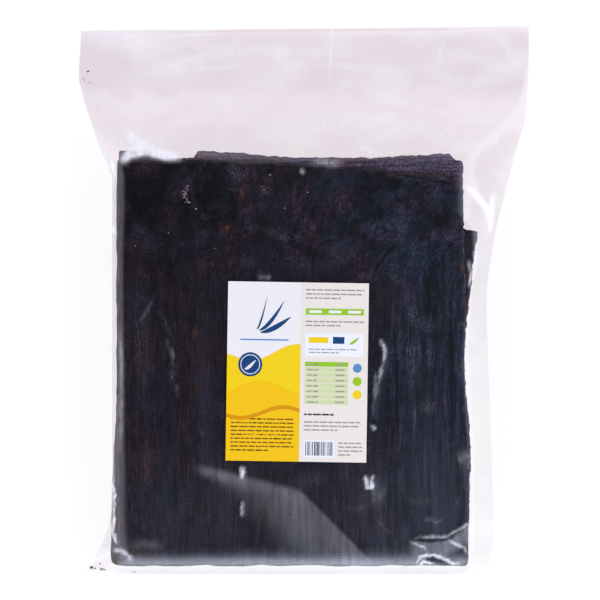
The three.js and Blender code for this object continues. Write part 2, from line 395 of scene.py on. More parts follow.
    def front(self, x: Array, y: Array, flap: float = 1.0) -> Array:
        """Read the height of the front film.

        Args:
            x: Places across.
            y: Places up.
            flap: Share of the loose flap's rise to count in.

        Returns:
            Height above the floor.
        """
        share = self.share(x, y)
        right_edge = self.right_edge(y)
        from_right = np.maximum(right_edge - x, 0.0) / (right_edge - self.stack_right_edge(y))
        right_foot = self.right_weld(y) + self.rim
        right = right_foot + (self.stack_height - right_foot) * from_right
        header = self.header(x, y)
        from_header = np.maximum(self.header_start - y, 0.0) / (self.header_start - self.stack_top)
        slope = (self.stack_height - header) * from_header**self.shoulder_power
        shoulder = header + slope + self.pleats(x, y) * ease(from_header, self.pleat_onset)
        calm = self.off_label(x, y, self.label_calm)
        body = self.stack_height + self.crown(x, y) + self.ridges(x, y) * calm + flap * self.flap(x, y)
        rounding = lerp(self.film_rounding, self.header_rounding, ease(y, self.header_blend))
        top = rounded_lower(body, rounded_lower(right, shoulder, rounding), rounding)
        power = lerp(self.corner_power, self.round_power, ease(y, self.corner_blend))
        power = lerp(power, self.shoulder_edge_power, ease(y, self.shoulder_blend))
        from_left = edge_rise((x - self.left_edge(y)) / self.left_round(y), power)
        from_bottom = edge_rise((y - self.bottom_edge(share)) / self.bottom_round, self.round_power)
        left_fall = (top - self.left_weld(y) - self.rim) * (1 - from_left)
        bottom_fall = (top - self.bottom_fold(share) - self.rim) * (1 - from_bottom)
        return np.maximum(top - np.hypot(left_fall, bottom_fall), self.back(x, y) + self.rim)

    def back(self, x: Array, y: Array) -> Array:
        """Read the height of the back film: on the floor under the stack and raised to the welds.

        Args:
            x: Places across.
            y: Places up.

        Returns:
            Height above the floor.
        """
        share = self.share(x, y)
        shoulder = ease(y, self.shoulder_blend)
        body = lerp(self.back_reach_corner, self.back_reach, ease(y, self.corner_blend))
        left_reach = lerp(body, self.back_reach_shoulder, shoulder)
        right_reach = lerp(self.back_reach_right, self.back_reach_shoulder, shoulder)
        height = np.zeros(x.shape)
        for weld, away, reach in (
            (self.left_weld(y), x - self.left_edge(y), left_reach),
            (self.right_weld(y), self.right_edge(y) - x, right_reach),
            (self.bottom_fold(share), y - self.bottom_edge(share), self.back_reach),
        ):
            rise = np.clip(1 - away / reach, 0.0, 1.0) ** self.back_power
            height = np.maximum(height, weld * rise)
        return height


@dataclass(frozen=True)
class Cells:
    """The cells of a noise texture: how many to a unit along each axis, their octaves and their twist."""

    scale: Triple
    detail: float
    twist: float = 0


class NodeTree:
    """A tree of shader nodes, built a node at a time."""

    def __init__(self, tree: bpy.types.NodeTree) -> None:
        """Start with the tree emptied."""
        self._tree = tree
        self._tree.nodes.clear()

    def node(self, kind: str, inputs: dict | None = None, **settings: object) -> bpy.types.Node:
        """Add a node.

        Args:
            kind: Blender's node type, without its ShaderNode prefix.
            inputs: Input socket names or numbers, each with a constant or a socket to link from.
            settings: Properties set on the node itself.

        Returns:
            The new node.
        """
        node = self._tree.nodes.new("ShaderNode" + kind)
        for name, value in settings.items():
            setattr(node, name, value)
        for key, value in (inputs or {}).items():
            if isinstance(value, Socket):
                self._tree.links.new(value, node.inputs[key])
            else:
                node.inputs[key].default_value = value
        return node

    def span(self, value: Socket, start: Range, end: Range, kind: str = "LINEAR") -> Socket:
        """Map the range that a value has onto another range, in one of Blender's ways."""
        ranges = {"From Min": start[0], "From Max": start[1], "To Min": end[0], "To Max": end[1]}
        return self.node("MapRange", {"Value": value, **ranges}, interpolation_type=kind).outputs[0]


class Shader(NodeTree):
    """A material's node tree."""

    def __init__(self, name: str) -> None:
        """Start an empty node material of that name."""
        self.material = bpy.data.materials.new(name)
        self.material.use_nodes = True
        super().__init__(self.material.node_tree)

    def place(self) -> Socket:
        """Return places in the object's own axes."""
        return self.node("TexCoord").outputs["Object"]

    def attribute(self, name: str, output: str) -> Socket:
        """Return one output of an attribute of the mesh."""
        return self.node("Attribute", attribute_name=name).outputs[output]

    def noise(self, place: Socket, cells: Cells) -> Socket:
        """Return noise of such cells at each place."""
        stretched = self.node("Mapping", {"Vector": place, "Scale": cells.scale}).outputs[0]
        inputs = {"Vector": stretched, "Scale": 1.0, "Detail": cells.detail, "Distortion": cells.twist}
        return self.node("TexNoise", inputs).outputs[0]

    def math(self, operation: str, first: object, second: object, **settings: object) -> Socket:
        """Return the outcome of one of Blender's math operations on two values."""
        return self.node("Math", {0: first, 1: second}, operation=operation, **settings).outputs[0]

    def times(self, first: Socket, *others: Socket) -> Socket:
        """Return the product of several values."""
        for other in others:
            first = self.math("MULTIPLY", first, other)
        return first

    def ramp(self, factor: Socket, stops: Sequence[tuple[float, Colour]]) -> Socket:
        """Add a colour ramp.

        Args:
            factor: Socket that drives the ramp.
            stops: Positions and colours, in order.

        Returns:
            The ramp's colour socket.
        """
        node = self.node("ValToRGB", {"Fac": factor})
        elements = node.color_ramp.elements
        while len(elements) < len(stops):
            elements.new(1.0)
        for element, (position, colour) in zip(elements, stops):
            element.position = position
            element.color = opaque(colour)
        return node.outputs["Color"]

    def mottled(self, noise: Socket, colour: Colour, dark: float) -> Socket:
        """Return a colour that noise darkens down to a share of it."""
        shades = (tuple(dark * part for part in colour), colour)
        return self.ramp(noise, list(zip(NOISE_MIDDLE, shades)))

    def mix(self, factor: Socket, first: object, second: object) -> Socket:
        """Return two colours, each a value or a socket, mixed by the second one's share."""
        return self.node("Mix", {0: factor, 6: first, 7: second}, data_type="RGBA").outputs[2]

    def bump(self, height: Socket, strength: float, depth: float) -> Socket:
        """Return normals bumped by a height, to a strength and a depth in metres."""
        return self.node("Bump", {"Height": height, "Strength": strength, "Distance": depth}).outputs[0]

    def finish(self, surface: Socket) -> Material:
        """Link the surface to the output and return the material."""
        self.node("OutputMaterial", {"Surface": surface})
        return self.material

    def principled(self, inputs: dict) -> Material:
        """Finish with a principled surface of those inputs and return the material."""
        return self.finish(self.node("BsdfPrincipled", inputs).outputs[0])


@dataclass(frozen=True)
class FilmFinish:
    """Clear glossy film with an uneven pink cast, hazy where it is scuffed, and with painted reflections of
    the lamps drawn as cloudy marks.
    """

    name: str = "clear_film"
    deep: Colour = (0.929, 0.884, 0.908)
    tint: Colour = (0.948, 0.906, 0.929)
    clear: Colour = (0.997, 0.995, 0.996)
    clear_below: float = -0.11
    tint_above: float = 0.12
    full_tint: float = 0.75
    uneven: float = 0.26
    left_side: Range = (-0.15, -0.168)
    side_cast: float = 0.34
    gloss: Colour = (0.93, 0.94, 1)
    haze_and_reflection: Colour = (0.93, 0.94, 1)
    roughness: float = 0.11
    mirror: float = 0.06
    steepness: float = 5
    crinkles: Cells = Cells((130, 130, 130), 3)
    crinkle_bump: Point = (0.08, 0.0005)
    patches: Cells = Cells((22, 40, 22), 5, 0.5)
    scuffs: Cells = Cells((240, 40, 90), 6)
    scuff_haze: Remap = ((0.45, 0.8), (0.001, 0.005))
    reflection_uneven: Range = (0.7, 1.3)

    def material(self) -> Material:
        """Make the film's material: clear, with reflections that grow towards its edges."""
        shader = Shader(self.name)
        place = shader.place()
        bump = shader.bump(shader.noise(place, self.crinkles), *self.crinkle_bump)
        across, height, _ = shader.node("SeparateXYZ", {"Vector": place}).outputs
        rising = shader.span(height, (self.clear_below, self.tint_above), (0.0, self.full_tint))
        beside = shader.span(across, self.left_side, (0.0, self.side_cast))
        shift = shader.span(shader.noise(place, self.patches), NOISE_MIDDLE, (-self.uneven, self.uneven))
        cast = shader.math("ADD", shader.math("ADD", rising, beside), shift)
        tint = shader.ramp(cast, [(0.0, self.clear), (self.full_tint, self.tint), (1.0, self.deep)])
        clear = shader.node("BsdfTransparent", {"Color": tint}).outputs[0]
        inputs = {"Color": opaque(self.gloss), "Roughness": self.roughness, "Normal": bump}
        shine = shader.node("BsdfAnisotropic", inputs).outputs[0]
        facing = shader.node("LayerWeight", {"Normal": bump}).outputs["Facing"]
        share = shader.span(shader.math("POWER", facing, self.steepness), (0.0, 1.0), (self.mirror, 1.0))
        glossy = shader.node("MixShader", {0: share, 1: clear, 2: shine}).outputs[0]
        scuffs = shader.noise(place, self.scuffs)
        scuffed = shader.span(scuffs, *self.scuff_haze)
        uneven = shader.span(scuffs, NOISE_MIDDLE, self.reflection_uneven)
        # Painted reflections of the lamps, stored on the mesh, are drawn as haze.
        painted_reflection_share = shader.times(shader.attribute("painted_reflection", "Fac"), uneven)
        amount = shader.math("ADD", scuffed, painted_reflection_share, use_clamp=True)
        # One hazy surface serves both the scuffs and the painted reflections.
        haze_and_reflection_surface = shader.node("BsdfDiffuse", {"Color": opaque(self.haze_and_reflection)}).outputs[0]
        return shader.finish(shader.node("MixShader", {0: amount, 1: glossy, 2: haze_and_reflection_surface}).outputs[0])


@dataclass(frozen=True)
class WakameFinish:
    """Dry pressed leaf: near black, stained from blue-green to brown, with grit, fibres, amber edges and a
    grey-lavender bloom, and painted light, shade and sheen carried by its mesh.
    """

    name: str = "dried_wakame"
    stains: tuple[tuple[float, Colour], ...] = (
        (0, (0.0038, 0.008, 0.0138)),
        (0.3, (0.0072, 0.0081, 0.015)),
        (0.5, (0.011, 0.0077, 0.0138)),
        (0.7, (0.0172, 0.0085, 0.012)),
        (1, (0.042, 0.02, 0.011)),
    )
    amber: Colour = (0.115, 0.068, 0.04)
    # Grey-lavender bloom: dust on the leaf, and a painted sheen on the sheets drawn lighter and one glare
    # patch.
    bloom_and_sheen: Colour = (0.2, 0.208, 0.235)
    grit: Cells = Cells((620, 480, 620), 3)
    fibres: Cells = Cells((0.62, 0.03, 0), 4)
    blots: Cells = Cells((150, 120, 150), 3)
    frays: Cells = Cells((110, 110, 110), 3)
    grit_light: Remap = ((0.32, 0.68), (0.45, 1.55))
    fibre_light: Remap = ((0.34, 0.66), (0.4, 1.6))
    blot_light: Remap = (NOISE_MIDDLE, (0.65, 1.35))
    grit_dust: Remap = ((0.4, 0.66), (0.1, 1.5))
    fibre_dust: Remap = ((0.38, 0.68), (0.35, 1.1))
    fray_amber: Remap = ((0.5, 0.72), (0, 0.5))
    fibre_dull: Remap = (NOISE_MIDDLE, (0.75, 0.5))
    grit_bump: Point = (0.5, 0.0005)
    specular: float = 0.1

    def material(self) -> Material:
        """Make the leaf's material from the grain and the wear-and-shade attributes of its mesh, which also
        carry painted light, shade and sheen.
        """
        shader = Shader(self.name)
        place, grain = shader.place(), shader.attribute("grain", "Vector")
        wear_and_shade = shader.attribute("wear_and_shade", "Vector")
        # The light channel holds the leaf's tone with painted light and shade in it.
        edge, light, hue = shader.node("SeparateXYZ", {"Vector": wear_and_shade}).outputs
        bloom_and_sheen = shader.node("SeparateXYZ", {"Vector": grain}).outputs["Z"]
        grit, fibres = shader.noise(place, self.grit), shader.noise(grain, self.fibres)
        bright = shader.times(shader.span(grit, *self.grit_light), shader.span(fibres, *self.fibre_light))
        blots = shader.span(shader.noise(place, self.blots), *self.blot_light)
        lit = shader.times(bright, blots, light)
        base = shader.ramp(hue, self.stains)
        leaf = shader.node("VectorMath", {0: base, 1: lit}, operation="MULTIPLY").outputs[0]
        dust = shader.times(shader.span(grit, *self.grit_dust), shader.span(fibres, *self.fibre_dust))
        # Bloom is dust, and where sheets are drawn lighter, a painted sheen.
        with_bloom_and_sheen = shader.mix(shader.times(bloom_and_sheen, dust), leaf, opaque(self.bloom_and_sheen))
        frayed = shader.span(shader.noise(place, self.frays), *self.fray_amber)
        inputs = {
            "Base Color": shader.mix(shader.times(edge, frayed), with_bloom_and_sheen, opaque(self.amber)),
            "Roughness": shader.span(fibres, *self.fibre_dull),
            "Specular IOR Level": self.specular,
            "Normal": shader.bump(grit, *self.grit_bump),
        }
        return shader.principled(inputs)


@dataclass(frozen=True)
class SpeckFinish:
    """Small loose bits: leaf crumbs or salt grains, mottled within one colour."""

    name: str
    colour: Colour
    roughness: float = 0.6
    mottle: Cells = Cells((900, 900, 900), 2)
    dark: float = 0.7

    def material(self) -> Material:
        """Make the speck's mottled material."""
        shader = Shader(self.name)
        colour = shader.mottled(shader.noise(shader.place(), self.mottle), self.colour, self.dark)
        return shader.principled({"Base Color": colour, "Roughness": self.roughness})


@dataclass(frozen=True)
class PaperFinish:
    """Smooth paper with a fine grain, in the colour of one ink."""

    name: str
    colour: Colour
    fibre: Cells = Cells((700, 700, 700), 4)
    fibre_bump: Point = (0.08, 0.0001)
    dark: float = 0.94
    roughness: float = 0.45
    specular: float = 0.25

    def material(self) -> Material:
        """Make the paper's material."""
        shader = Shader(self.name)
        fibre = shader.noise(shader.place(), self.fibre)
        inputs = {
            "Base Color": shader.mottled(fibre, self.colour, self.dark),
            "Roughness": self.roughness,
            "Specular IOR Level": self.specular,
            "Normal": shader.bump(fibre, *self.fibre_bump),
        }
        return shader.principled(inputs)


class Ink(Enum):
    """Colours of the label's paper and print, as linear values."""

    PALE = (0.81, 0.79, 0.785)
    CREAM = (0.80, 0.745, 0.67)
    WHITE = (0.83, 0.84, 0.89)
    AMBER = (0.87, 0.53, 0.007)
    DEEP_AMBER = (0.66, 0.29, 0.003)
    YELLOW = (0.86, 0.61, 0.01)
    NAVY = (0.010, 0.055, 0.17)
    SKY = (0.10, 0.26, 0.50)
    GREEN = (0.30, 0.55, 0.02)
    PALE_GREEN = (0.62, 0.68, 0.38)
    GREY = (0.34, 0.31, 0.30)
    BROWN = (0.20, 0.09, 0.01)
    CHARCOAL = (0.045, 0.04, 0.045)

    def material(self) -> Material:
        """Make the material of paper in this ink."""
        return PaperFinish("print_" + self.name.lower(), self.value).material()


@dataclass(frozen=True)
class FloorFinish:
    """Plain white studio floor that glows a little, so that shadows on it stay faint."""

    name: str = "studio_floor"
    colour: Colour = (0.2, 0.2, 0.2)
    glow_colour: Colour = (1, 1, 1)
    glow: float = 0.84
    roughness: float = 0.9

    def material(self) -> Material:
        """Make the floor's material."""
        inputs = {
            "Base Color": opaque(self.colour),
            "Roughness": self.roughness,
            "Specular IOR Level": 0.0,
            "Emission Color": opaque(self.glow_colour),
            "Emission Strength": self.glow,
        }
        return Shader(self.name).principled(inputs)


class MeshParts:
    """Points, faces and material numbers gathered for one mesh."""

    def __init__(self) -> None:
        """Start with nothing gathered."""
        self._points: list[Array] = []
        self._faces: list[list[int]] = []
        self._materials: list[int] = []
        self._count = 0

    def add(self, points: Array, faces: Sequence[Sequence[int]], material: int = 0) -> None:
        """Add a body.

        Args:
            points: Points in millimetres, one row each.
            faces: Corner numbers of each face, counted within this body.
            material: Material number of the body's faces.
        """
        self._points.append(np.asarray(points, float))
        self._faces.extend([corner + self._count for corner in face] for face in faces)
        self._materials.extend([material] * len(faces))
        self._count += len(points)

    def build(self, name: str, finishes: Sequence[Material], smooth: bool = True) -> Piece:
        """Make the object.

        Args:
            name: The piece's name.
            finishes: The materials that the faces' numbers mean.
            smooth: Whether the faces are shaded smooth.

        Returns:
            The new object, linked into the scene.
        """
        mesh = bpy.data.meshes.new(name)
        mesh.from_pydata((np.concatenate(self._points) * MM).tolist(), [], self._faces)
        for finish in finishes:
            mesh.materials.append(finish)
        mesh.polygons.foreach_set("material_index", self._materials)
        mesh.polygons.foreach_set("use_smooth", [smooth] * len(mesh.polygons))
        mesh.update()
        piece = bpy.data.objects.new(name, mesh)
        bpy.context.collection.objects.link(piece)
        return piece


def seat(piece: Piece, node: str) -> Piece:
    """Ride a piece on the pack in place of a node.

    Args:
        piece: The piece to seat.
        node: The model's node that it stands for.

    Returns:
        The same piece.
    """
    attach(piece, BODY)
    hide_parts(node)
    return piece


def grid_faces(columns: int, rows: int) -> list[list[int]]:
    """Number the upward quads of a grid of points, stored column by column.

    Args:
        columns: Cells across.
        rows: Cells up.

    Returns:
        Four corner numbers for each cell.
    """
    stride = rows + 1
    column, row = np.meshgrid(np.arange(columns), np.arange(rows), indexing="ij")
    a = (column * stride + row).ravel()
    return np.stack([a, a + stride, a + stride + 1, a + 1], axis=1).tolist()


def rim_loop(columns: int, rows: int) -> list[int]:
    """Number the points round a grid's rim, anticlockwise as seen from above.

    Args:
        columns: Cells across.
        rows: Cells up.

    Returns:
        The point numbers in order.
    """
    stride = rows + 1
    bottom = [column * stride for column in range(columns)]
    right = [columns * stride + row for row in range(rows)]
    top = [column * stride + rows for column in range(columns, 0, -1)]
    return bottom + right + top + list(range(rows, 0, -1))


def thin_body(front: Array, back: Array, coarse: int = 1) -> tuple[Array, list[list[int]]]:
    """Close two sheets of points of one grid into a body.

    Args:
        front: Points of the upper sheet, by column and row.
        back: Points of the lower sheet, by column and row.
        coarse: How many rows each face of the lower sheet spans.

    Returns:
        The body's points and faces.
    """
    columns, rows = front.shape[0] - 1, front.shape[1] - 1
    stride = rows + 1
    layer = (columns + 1) * stride
    faces = grid_faces(columns, rows)
    for column in range(columns):
        for row in range(0, rows, coarse):
            steps = range(row, row + coarse + 1)
            near = steps if column == 0 else (row, row + coarse)
            far = steps if column == columns - 1 else (row, row + coarse)
            ring = [column * stride + step for step in near]
            ring += [(column + 1) * stride + step for step in reversed(far)]
            faces.append([layer + corner for corner in ring])
    loop = rim_loop(columns, rows)
    for here, after in zip(loop, loop[1:] + loop[:1]):
        faces.append([here, layer + here, layer + after, after])
    points = np.concatenate([front.reshape(-1, 3), back.reshape(-1, 3)])
    used = np.unique(np.concatenate([np.array(face) for face in faces]))
    number = np.zeros(len(points), int)
    number[used] = np.arange(len(used))
    return points[used], [number[face].tolist() for face in faces]


class Crease:
    """A soft line over a sheet: a fold in the film, a groove in the leaf or a cloudy mark."""

    TAPER: Range = (0.0, 0.3)

    def __init__(self, rise: float, width: float, *points: Point) -> None:
        """Keep the rise along the line's middle, its half width and its points in order."""
        self.rise, self.width, self.points = rise, width, points

    def rise_at(self, x: Array, y: Array) -> Array:
        """Read the line over the sheet, tapering to nothing at its two ends.

        Args:
            x: Places across.
            y: Places up.

        Returns:
            The line's rise.
        """
        total = np.zeros(x.shape)
        lengths = [math.dist(a, b) for a, b in zip(self.points, self.points[1:])]
        walked = 0.0
        for (start_x, start_y), (end_x, end_y), length in zip(self.points, self.points[1:], lengths):
            run_x, run_y = (end_x - start_x) / length, (end_y - start_y) / length
            along = np.clip((x - start_x) * run_x + (y - start_y) * run_y, 0.0, length)
            away = np.hypot(x - start_x - along * run_x, y - start_y - along * run_y)
            share = (walked + along) / sum(lengths)
            taper = ease(share, self.TAPER) * ease(1 - share, self.TAPER)
            total = np.maximum(total, np.exp(-((away / self.width) ** 2)) * taper)
            walked += length
        return self.rise * total


def creases_of(*rows: tuple) -> tuple[Crease, ...]:
    """Make creases of rows that each give a rise, a half width and the points."""
    return tuple(Crease(*row) for row in rows)


@dataclass(frozen=True)
class FilmPaintedReflections:
    """Painted reflections of the lamps in the front film, drawn as cloudy marks: glare, glints and sheens."""

    form: BagForm
    seed: int = 12
    glare_start: Point = (-99.5, -142.3)
    glare_apex: Point = (-3.5, -166.7)
    glare_end: Point = (59.4, -229.6)
    glare_cloud: float = 0.094
    glare_ripple: Ripple = Ripple(0.25, 14, 60)
    glare_side: Range = (-1, 1)
    glare_top: Range = (-3, 4)
    streak_start: Range = (0, 22)
    streak_full: float = 3
    streak_depth: Range = (8, 34)
    wedge_fade: Range = (8, 54)
    veil_glare: Range = (0.004, 0.01)
    veil_across: Range = (0, 90)
    veil_down: Range = (95, 185)
    stack_start: Range = (-166, -158)
    stack_end: Range = (138, 146)
    foot_glare: float = 0.22
    foot_ripple: Ripple = Ripple(2.6, 30, 1, 3, (0, 4.5))
    foot_start: Range = (211, 238)
    foot_end: Range = (-238, -230)
    foot_power: float = 2
    facet_sheen: float = 0.12
    facet_ripple: Ripple = Ripple(1.5, 9, 9, 2)
    facet_start: Range = (-0.8, 0.8)
    facet_end: Range = (9, 18)
    facet_left: Range = (90, 98)
    warp_across: Ripple = Ripple(0.7, 2.6, 2.6, 2, (0, 7))
    warp_up: Ripple = Ripple(0.7, 2.6, 2.6, 2, (13, 0))
    mark_ripple: Ripple = Ripple(0.5, 4.4, 4.4, 3, (30, 0))
    mark_limits: Range = (0.35, 1.5)
    label_margin: Range = (0, 2)
    most: float = 0.85
    # Painted glints along the film's creases, puckers and folds.
    marks: tuple[Crease, ...] = creases_of(
        (0.11, 1, (63.7, -33.2), (68.8, -40), (70.7, -46.3), (65.5, -70.7), (59.4, -92.5), (60.2, -107.4)),
        (0.52, 1.2, (65.5, -34), (70.6, -45.5), (68.5, -57)),
        (0.16, 1, (68.5, -55), (66.5, -64), (65.5, -72)),
        (0.14, 1, (62.5, -62), (62, -74), (60, -86)),
        (0.45, 1.2, (57.5, -109), (63, -115)),
        (0.75, 1.3, (-55.2, -144), (-54, -151), (-54.6, -158)),
        (0.55, 1.1, (-52, -145), (-52.6, -153)),
        (0.42, 1, (-53.2, -174), (-54.2, -184), (-53.6, -191)),
        (0.75, 1.4, (53.2, -152), (54, -159), (56, -166.5)),
        (0.7, 1.4, (60, -152.5), (58.4, -159), (58.6, -166)),
        (0.45, 1.6, (52.5, -164), (61.5, -164.5)),
        (0.06, 8, (56, -168), (72, -172)),
        (0.7, 1.2, (-167.5, -150), (-165.2, -176.3), (-166, -195), (-168.5, -208)),
        (0.7, 1.3, (-164.8, -187), (-167, -203), (-162, -217)),
        (0.045, 3.8, (-156, -217), (-140, -212.5), (-120, -217)),
        (0.4, 2.2, (-170, -220), (-160, -219.5), (-148, -229)),
        (0.3, 1.1, (90.5, -210.5), (101, -207), (124.4, -207), (144.4, -195), (162, -190)),
        (0.34, 1.1, (90.5, -210.5), (103.5, -215), (107.9, -220)),
        (0.34, 1.1, (124.4, -207), (128.8, -211.4), (139, -216.6), (142.7, -223.6)),
        (0.7, 1.1, (96, -234), (101, -224), (113, -222.5), (141, -234)),
        (0.6, 1, (101, -234), (104, -228), (114, -231)),
        (-0.3, 2, (104, -226), (116, -227.5), (136, -234.5)),
        (0.6, 2.6, (44, 134), (54, 131), (64, 127)),
        (0.45, 1.6, (-4, 113), (1, 109)),
        (0.16, 3.4, (2, 121), (18, 119.5), (36, 118)),
        (0.4, 1.1, (142.5, 36), (145.5, 24), (143.5, 8)),
        (0.3, 1.2, (148, 44), (149, 32)),
        (0.1, 2.4, (-42, 19.5), (-27, 18.8)),
        (0.07, 6, (132, -141), (147, -136)),
        (0.035, 1, (-131, 3), (-136, -10), (-144, -22)),
        (0.15, 1.9, (-160.5, -14), (-159, -62), (-160.5, -142)),
        (0.06, 1, (-116, -41), (-112.5, -54)),
        (0.035, 1, (-120, -32), (-117, -46), (-112.5, -62)),
        (0.035, 1.7, (-111.5, -72), (-110, -88)),
        (0.03, 1, (-93, -107), (-88, -121)),
        (0.08, 1.4, (104, -190), (114, -194), (122, -192)),
        (0.8, 1.6, (-169, 124), (-167, 114), (-165, 104)),
        (0.7, 1.6, (-168, 65), (-166, 57)),
        (0.025, 1.2, (63, -190), (70, -200), (78, -206)),
        (0.016, 2.2, (30, -180), (46, -183), (58, -180)),
        (0.01, 2.6, (84, -172), (98, -177), (116, -175)),
    )
    # Painted sheens over the header, the shoulders and the upper left corner.
    sheens: tuple[Crease, ...] = creases_of(
        (2.4, 3.2, (-162, 116), (-152, 127), (-138, 130), (-122, 125.5), (-104, 123)),
        (2.4, 3, (-158, 148), (-146, 137), (-126, 128)),
        (0.2, 11, (-215, 240), (-150, 230), (-95, 222)),
        (0.18, 3.4, (-160, 196), (-92.7, 217), (-30, 223), (45, 217)),
        (0.16, 3, (-170, 197), (-110, 205), (-30, 209)),
        (0.4, 1.3, (23.5, 256), (24, 224), (23, 192)),
        (0.26, 4.6, (108, 206), (132, 196), (152, 192.5), (176, 201)),
        (0.22, 2, (126, 236), (118, 206)),
        (0.2, 3, (172, 240), (184, 218), (196, 200)),
        (0.22, 2.2, (-190, 186), (-168, 174), (-150, 164)),
        (0.18, 3.2, (10, 214), (60, 203), (110, 203)),
        (0.14, 6, (-60, 146), (20, 160), (100, 148)),
        (0.2, 3, (72, 146), (104, 152), (140, 136)),
        (0.7, 2.6, (138, 102), (150, 91), (160, 80), (164, 62)),
        (0.75, 2.4, (167, 96), (165, 78), (163, 54)),
    )

    @staticmethod
    def off_line(start: Point, end: Point, x: Array, y: Array) -> tuple[Array, Array]:
        """Measure places against a line.

        Args:
            start: Where the line starts.
            end: Where it ends.
            x: Places across.
            y: Places up.

        Returns:
            How far along the line each place is, and how far off to its right-hand side.
        """
        length = math.dist(start, end)
        run_x, run_y = (end[0] - start[0]) / length, (end[1] - start[1]) / length
        dx, dy = x - start[0], y - start[1]
        return dx * run_x + dy * run_y, dx * run_y - dy * run_x

    def glare(self, noise: LatticeNoise, x: Array, y: Array) -> Array:
        """Return the bent sheet of glare: a streak down to its apex, then a wedge to the bottom.

        Args:
            noise: Noise that makes it uneven.
            x: Places across.
            y: Places up.

        Returns:
            How cloudy the glare makes each place.
        """
        _, inside = self.off_line(self.glare_apex, self.glare_end, x, y)
        along, below = self.off_line(self.glare_start, self.glare_apex, x, y)
        depth = lerp(*self.streak_depth, along / math.dist(self.glare_start, self.glare_apex))
        streak = ease(along, self.streak_start) * fade(below, (self.streak_full, depth))
        wedge = fade(inside, self.wedge_fade)
        bounds = ease(inside, self.glare_side) * ease(below, self.glare_top)
        lit = bounds * np.maximum(streak, wedge)
        return self.glare_cloud * lit * (1 + self.glare_ripple.at(noise, x, y))

    def at(self, x: Array, y: Array) -> Array:
        """Read how strongly the painted reflections cloud the front film.

        Args:
            x: Places across.
            y: Places up.

        Returns:
            The share of each place that the painted reflections cloud over.
        """
        noise = LatticeNoise(self.seed)
        total = self.glare(noise, x, y)
        # Painted veil of glare, low down and stronger to the right.
        total += lerp(*self.veil_glare, ease(x, self.veil_across)) * ease(-y, self.veil_down)
        # Painted glare along the foot of the stack.
        on_stack = ease(x, self.stack_start) * fade(x, self.stack_end)
        foot = ease(self.foot_ripple.at(noise, x, 0.0) - y, self.foot_start) * ease(y, self.foot_end)
        total += self.foot_glare * foot**self.foot_power * on_stack
        # Painted sheen on the facet of the loose flap, low on the right.
        below = self.form.below_flap(x, y) + self.facet_ripple.at(noise, x, y)
        facet = ease(below, self.facet_start) * fade(below, self.facet_end)
        total += self.facet_sheen * facet * ease(x, self.facet_left)
        # Painted glints, broken up by noise, then the painted sheens.
        warped = x + self.warp_across.at(noise, x, y), y + self.warp_up.at(noise, x, y)
        marks = sum(mark.rise_at(*warped) for mark in self.marks)
        total += marks * np.clip(1 + self.mark_ripple.at(noise, x, y), *self.mark_limits)
        total += sum(sheen.rise_at(x, y) for sheen in self.sheens)
        return np.clip(total * self.form.off_label(x, y, self.label_margin), 0.0, self.most)


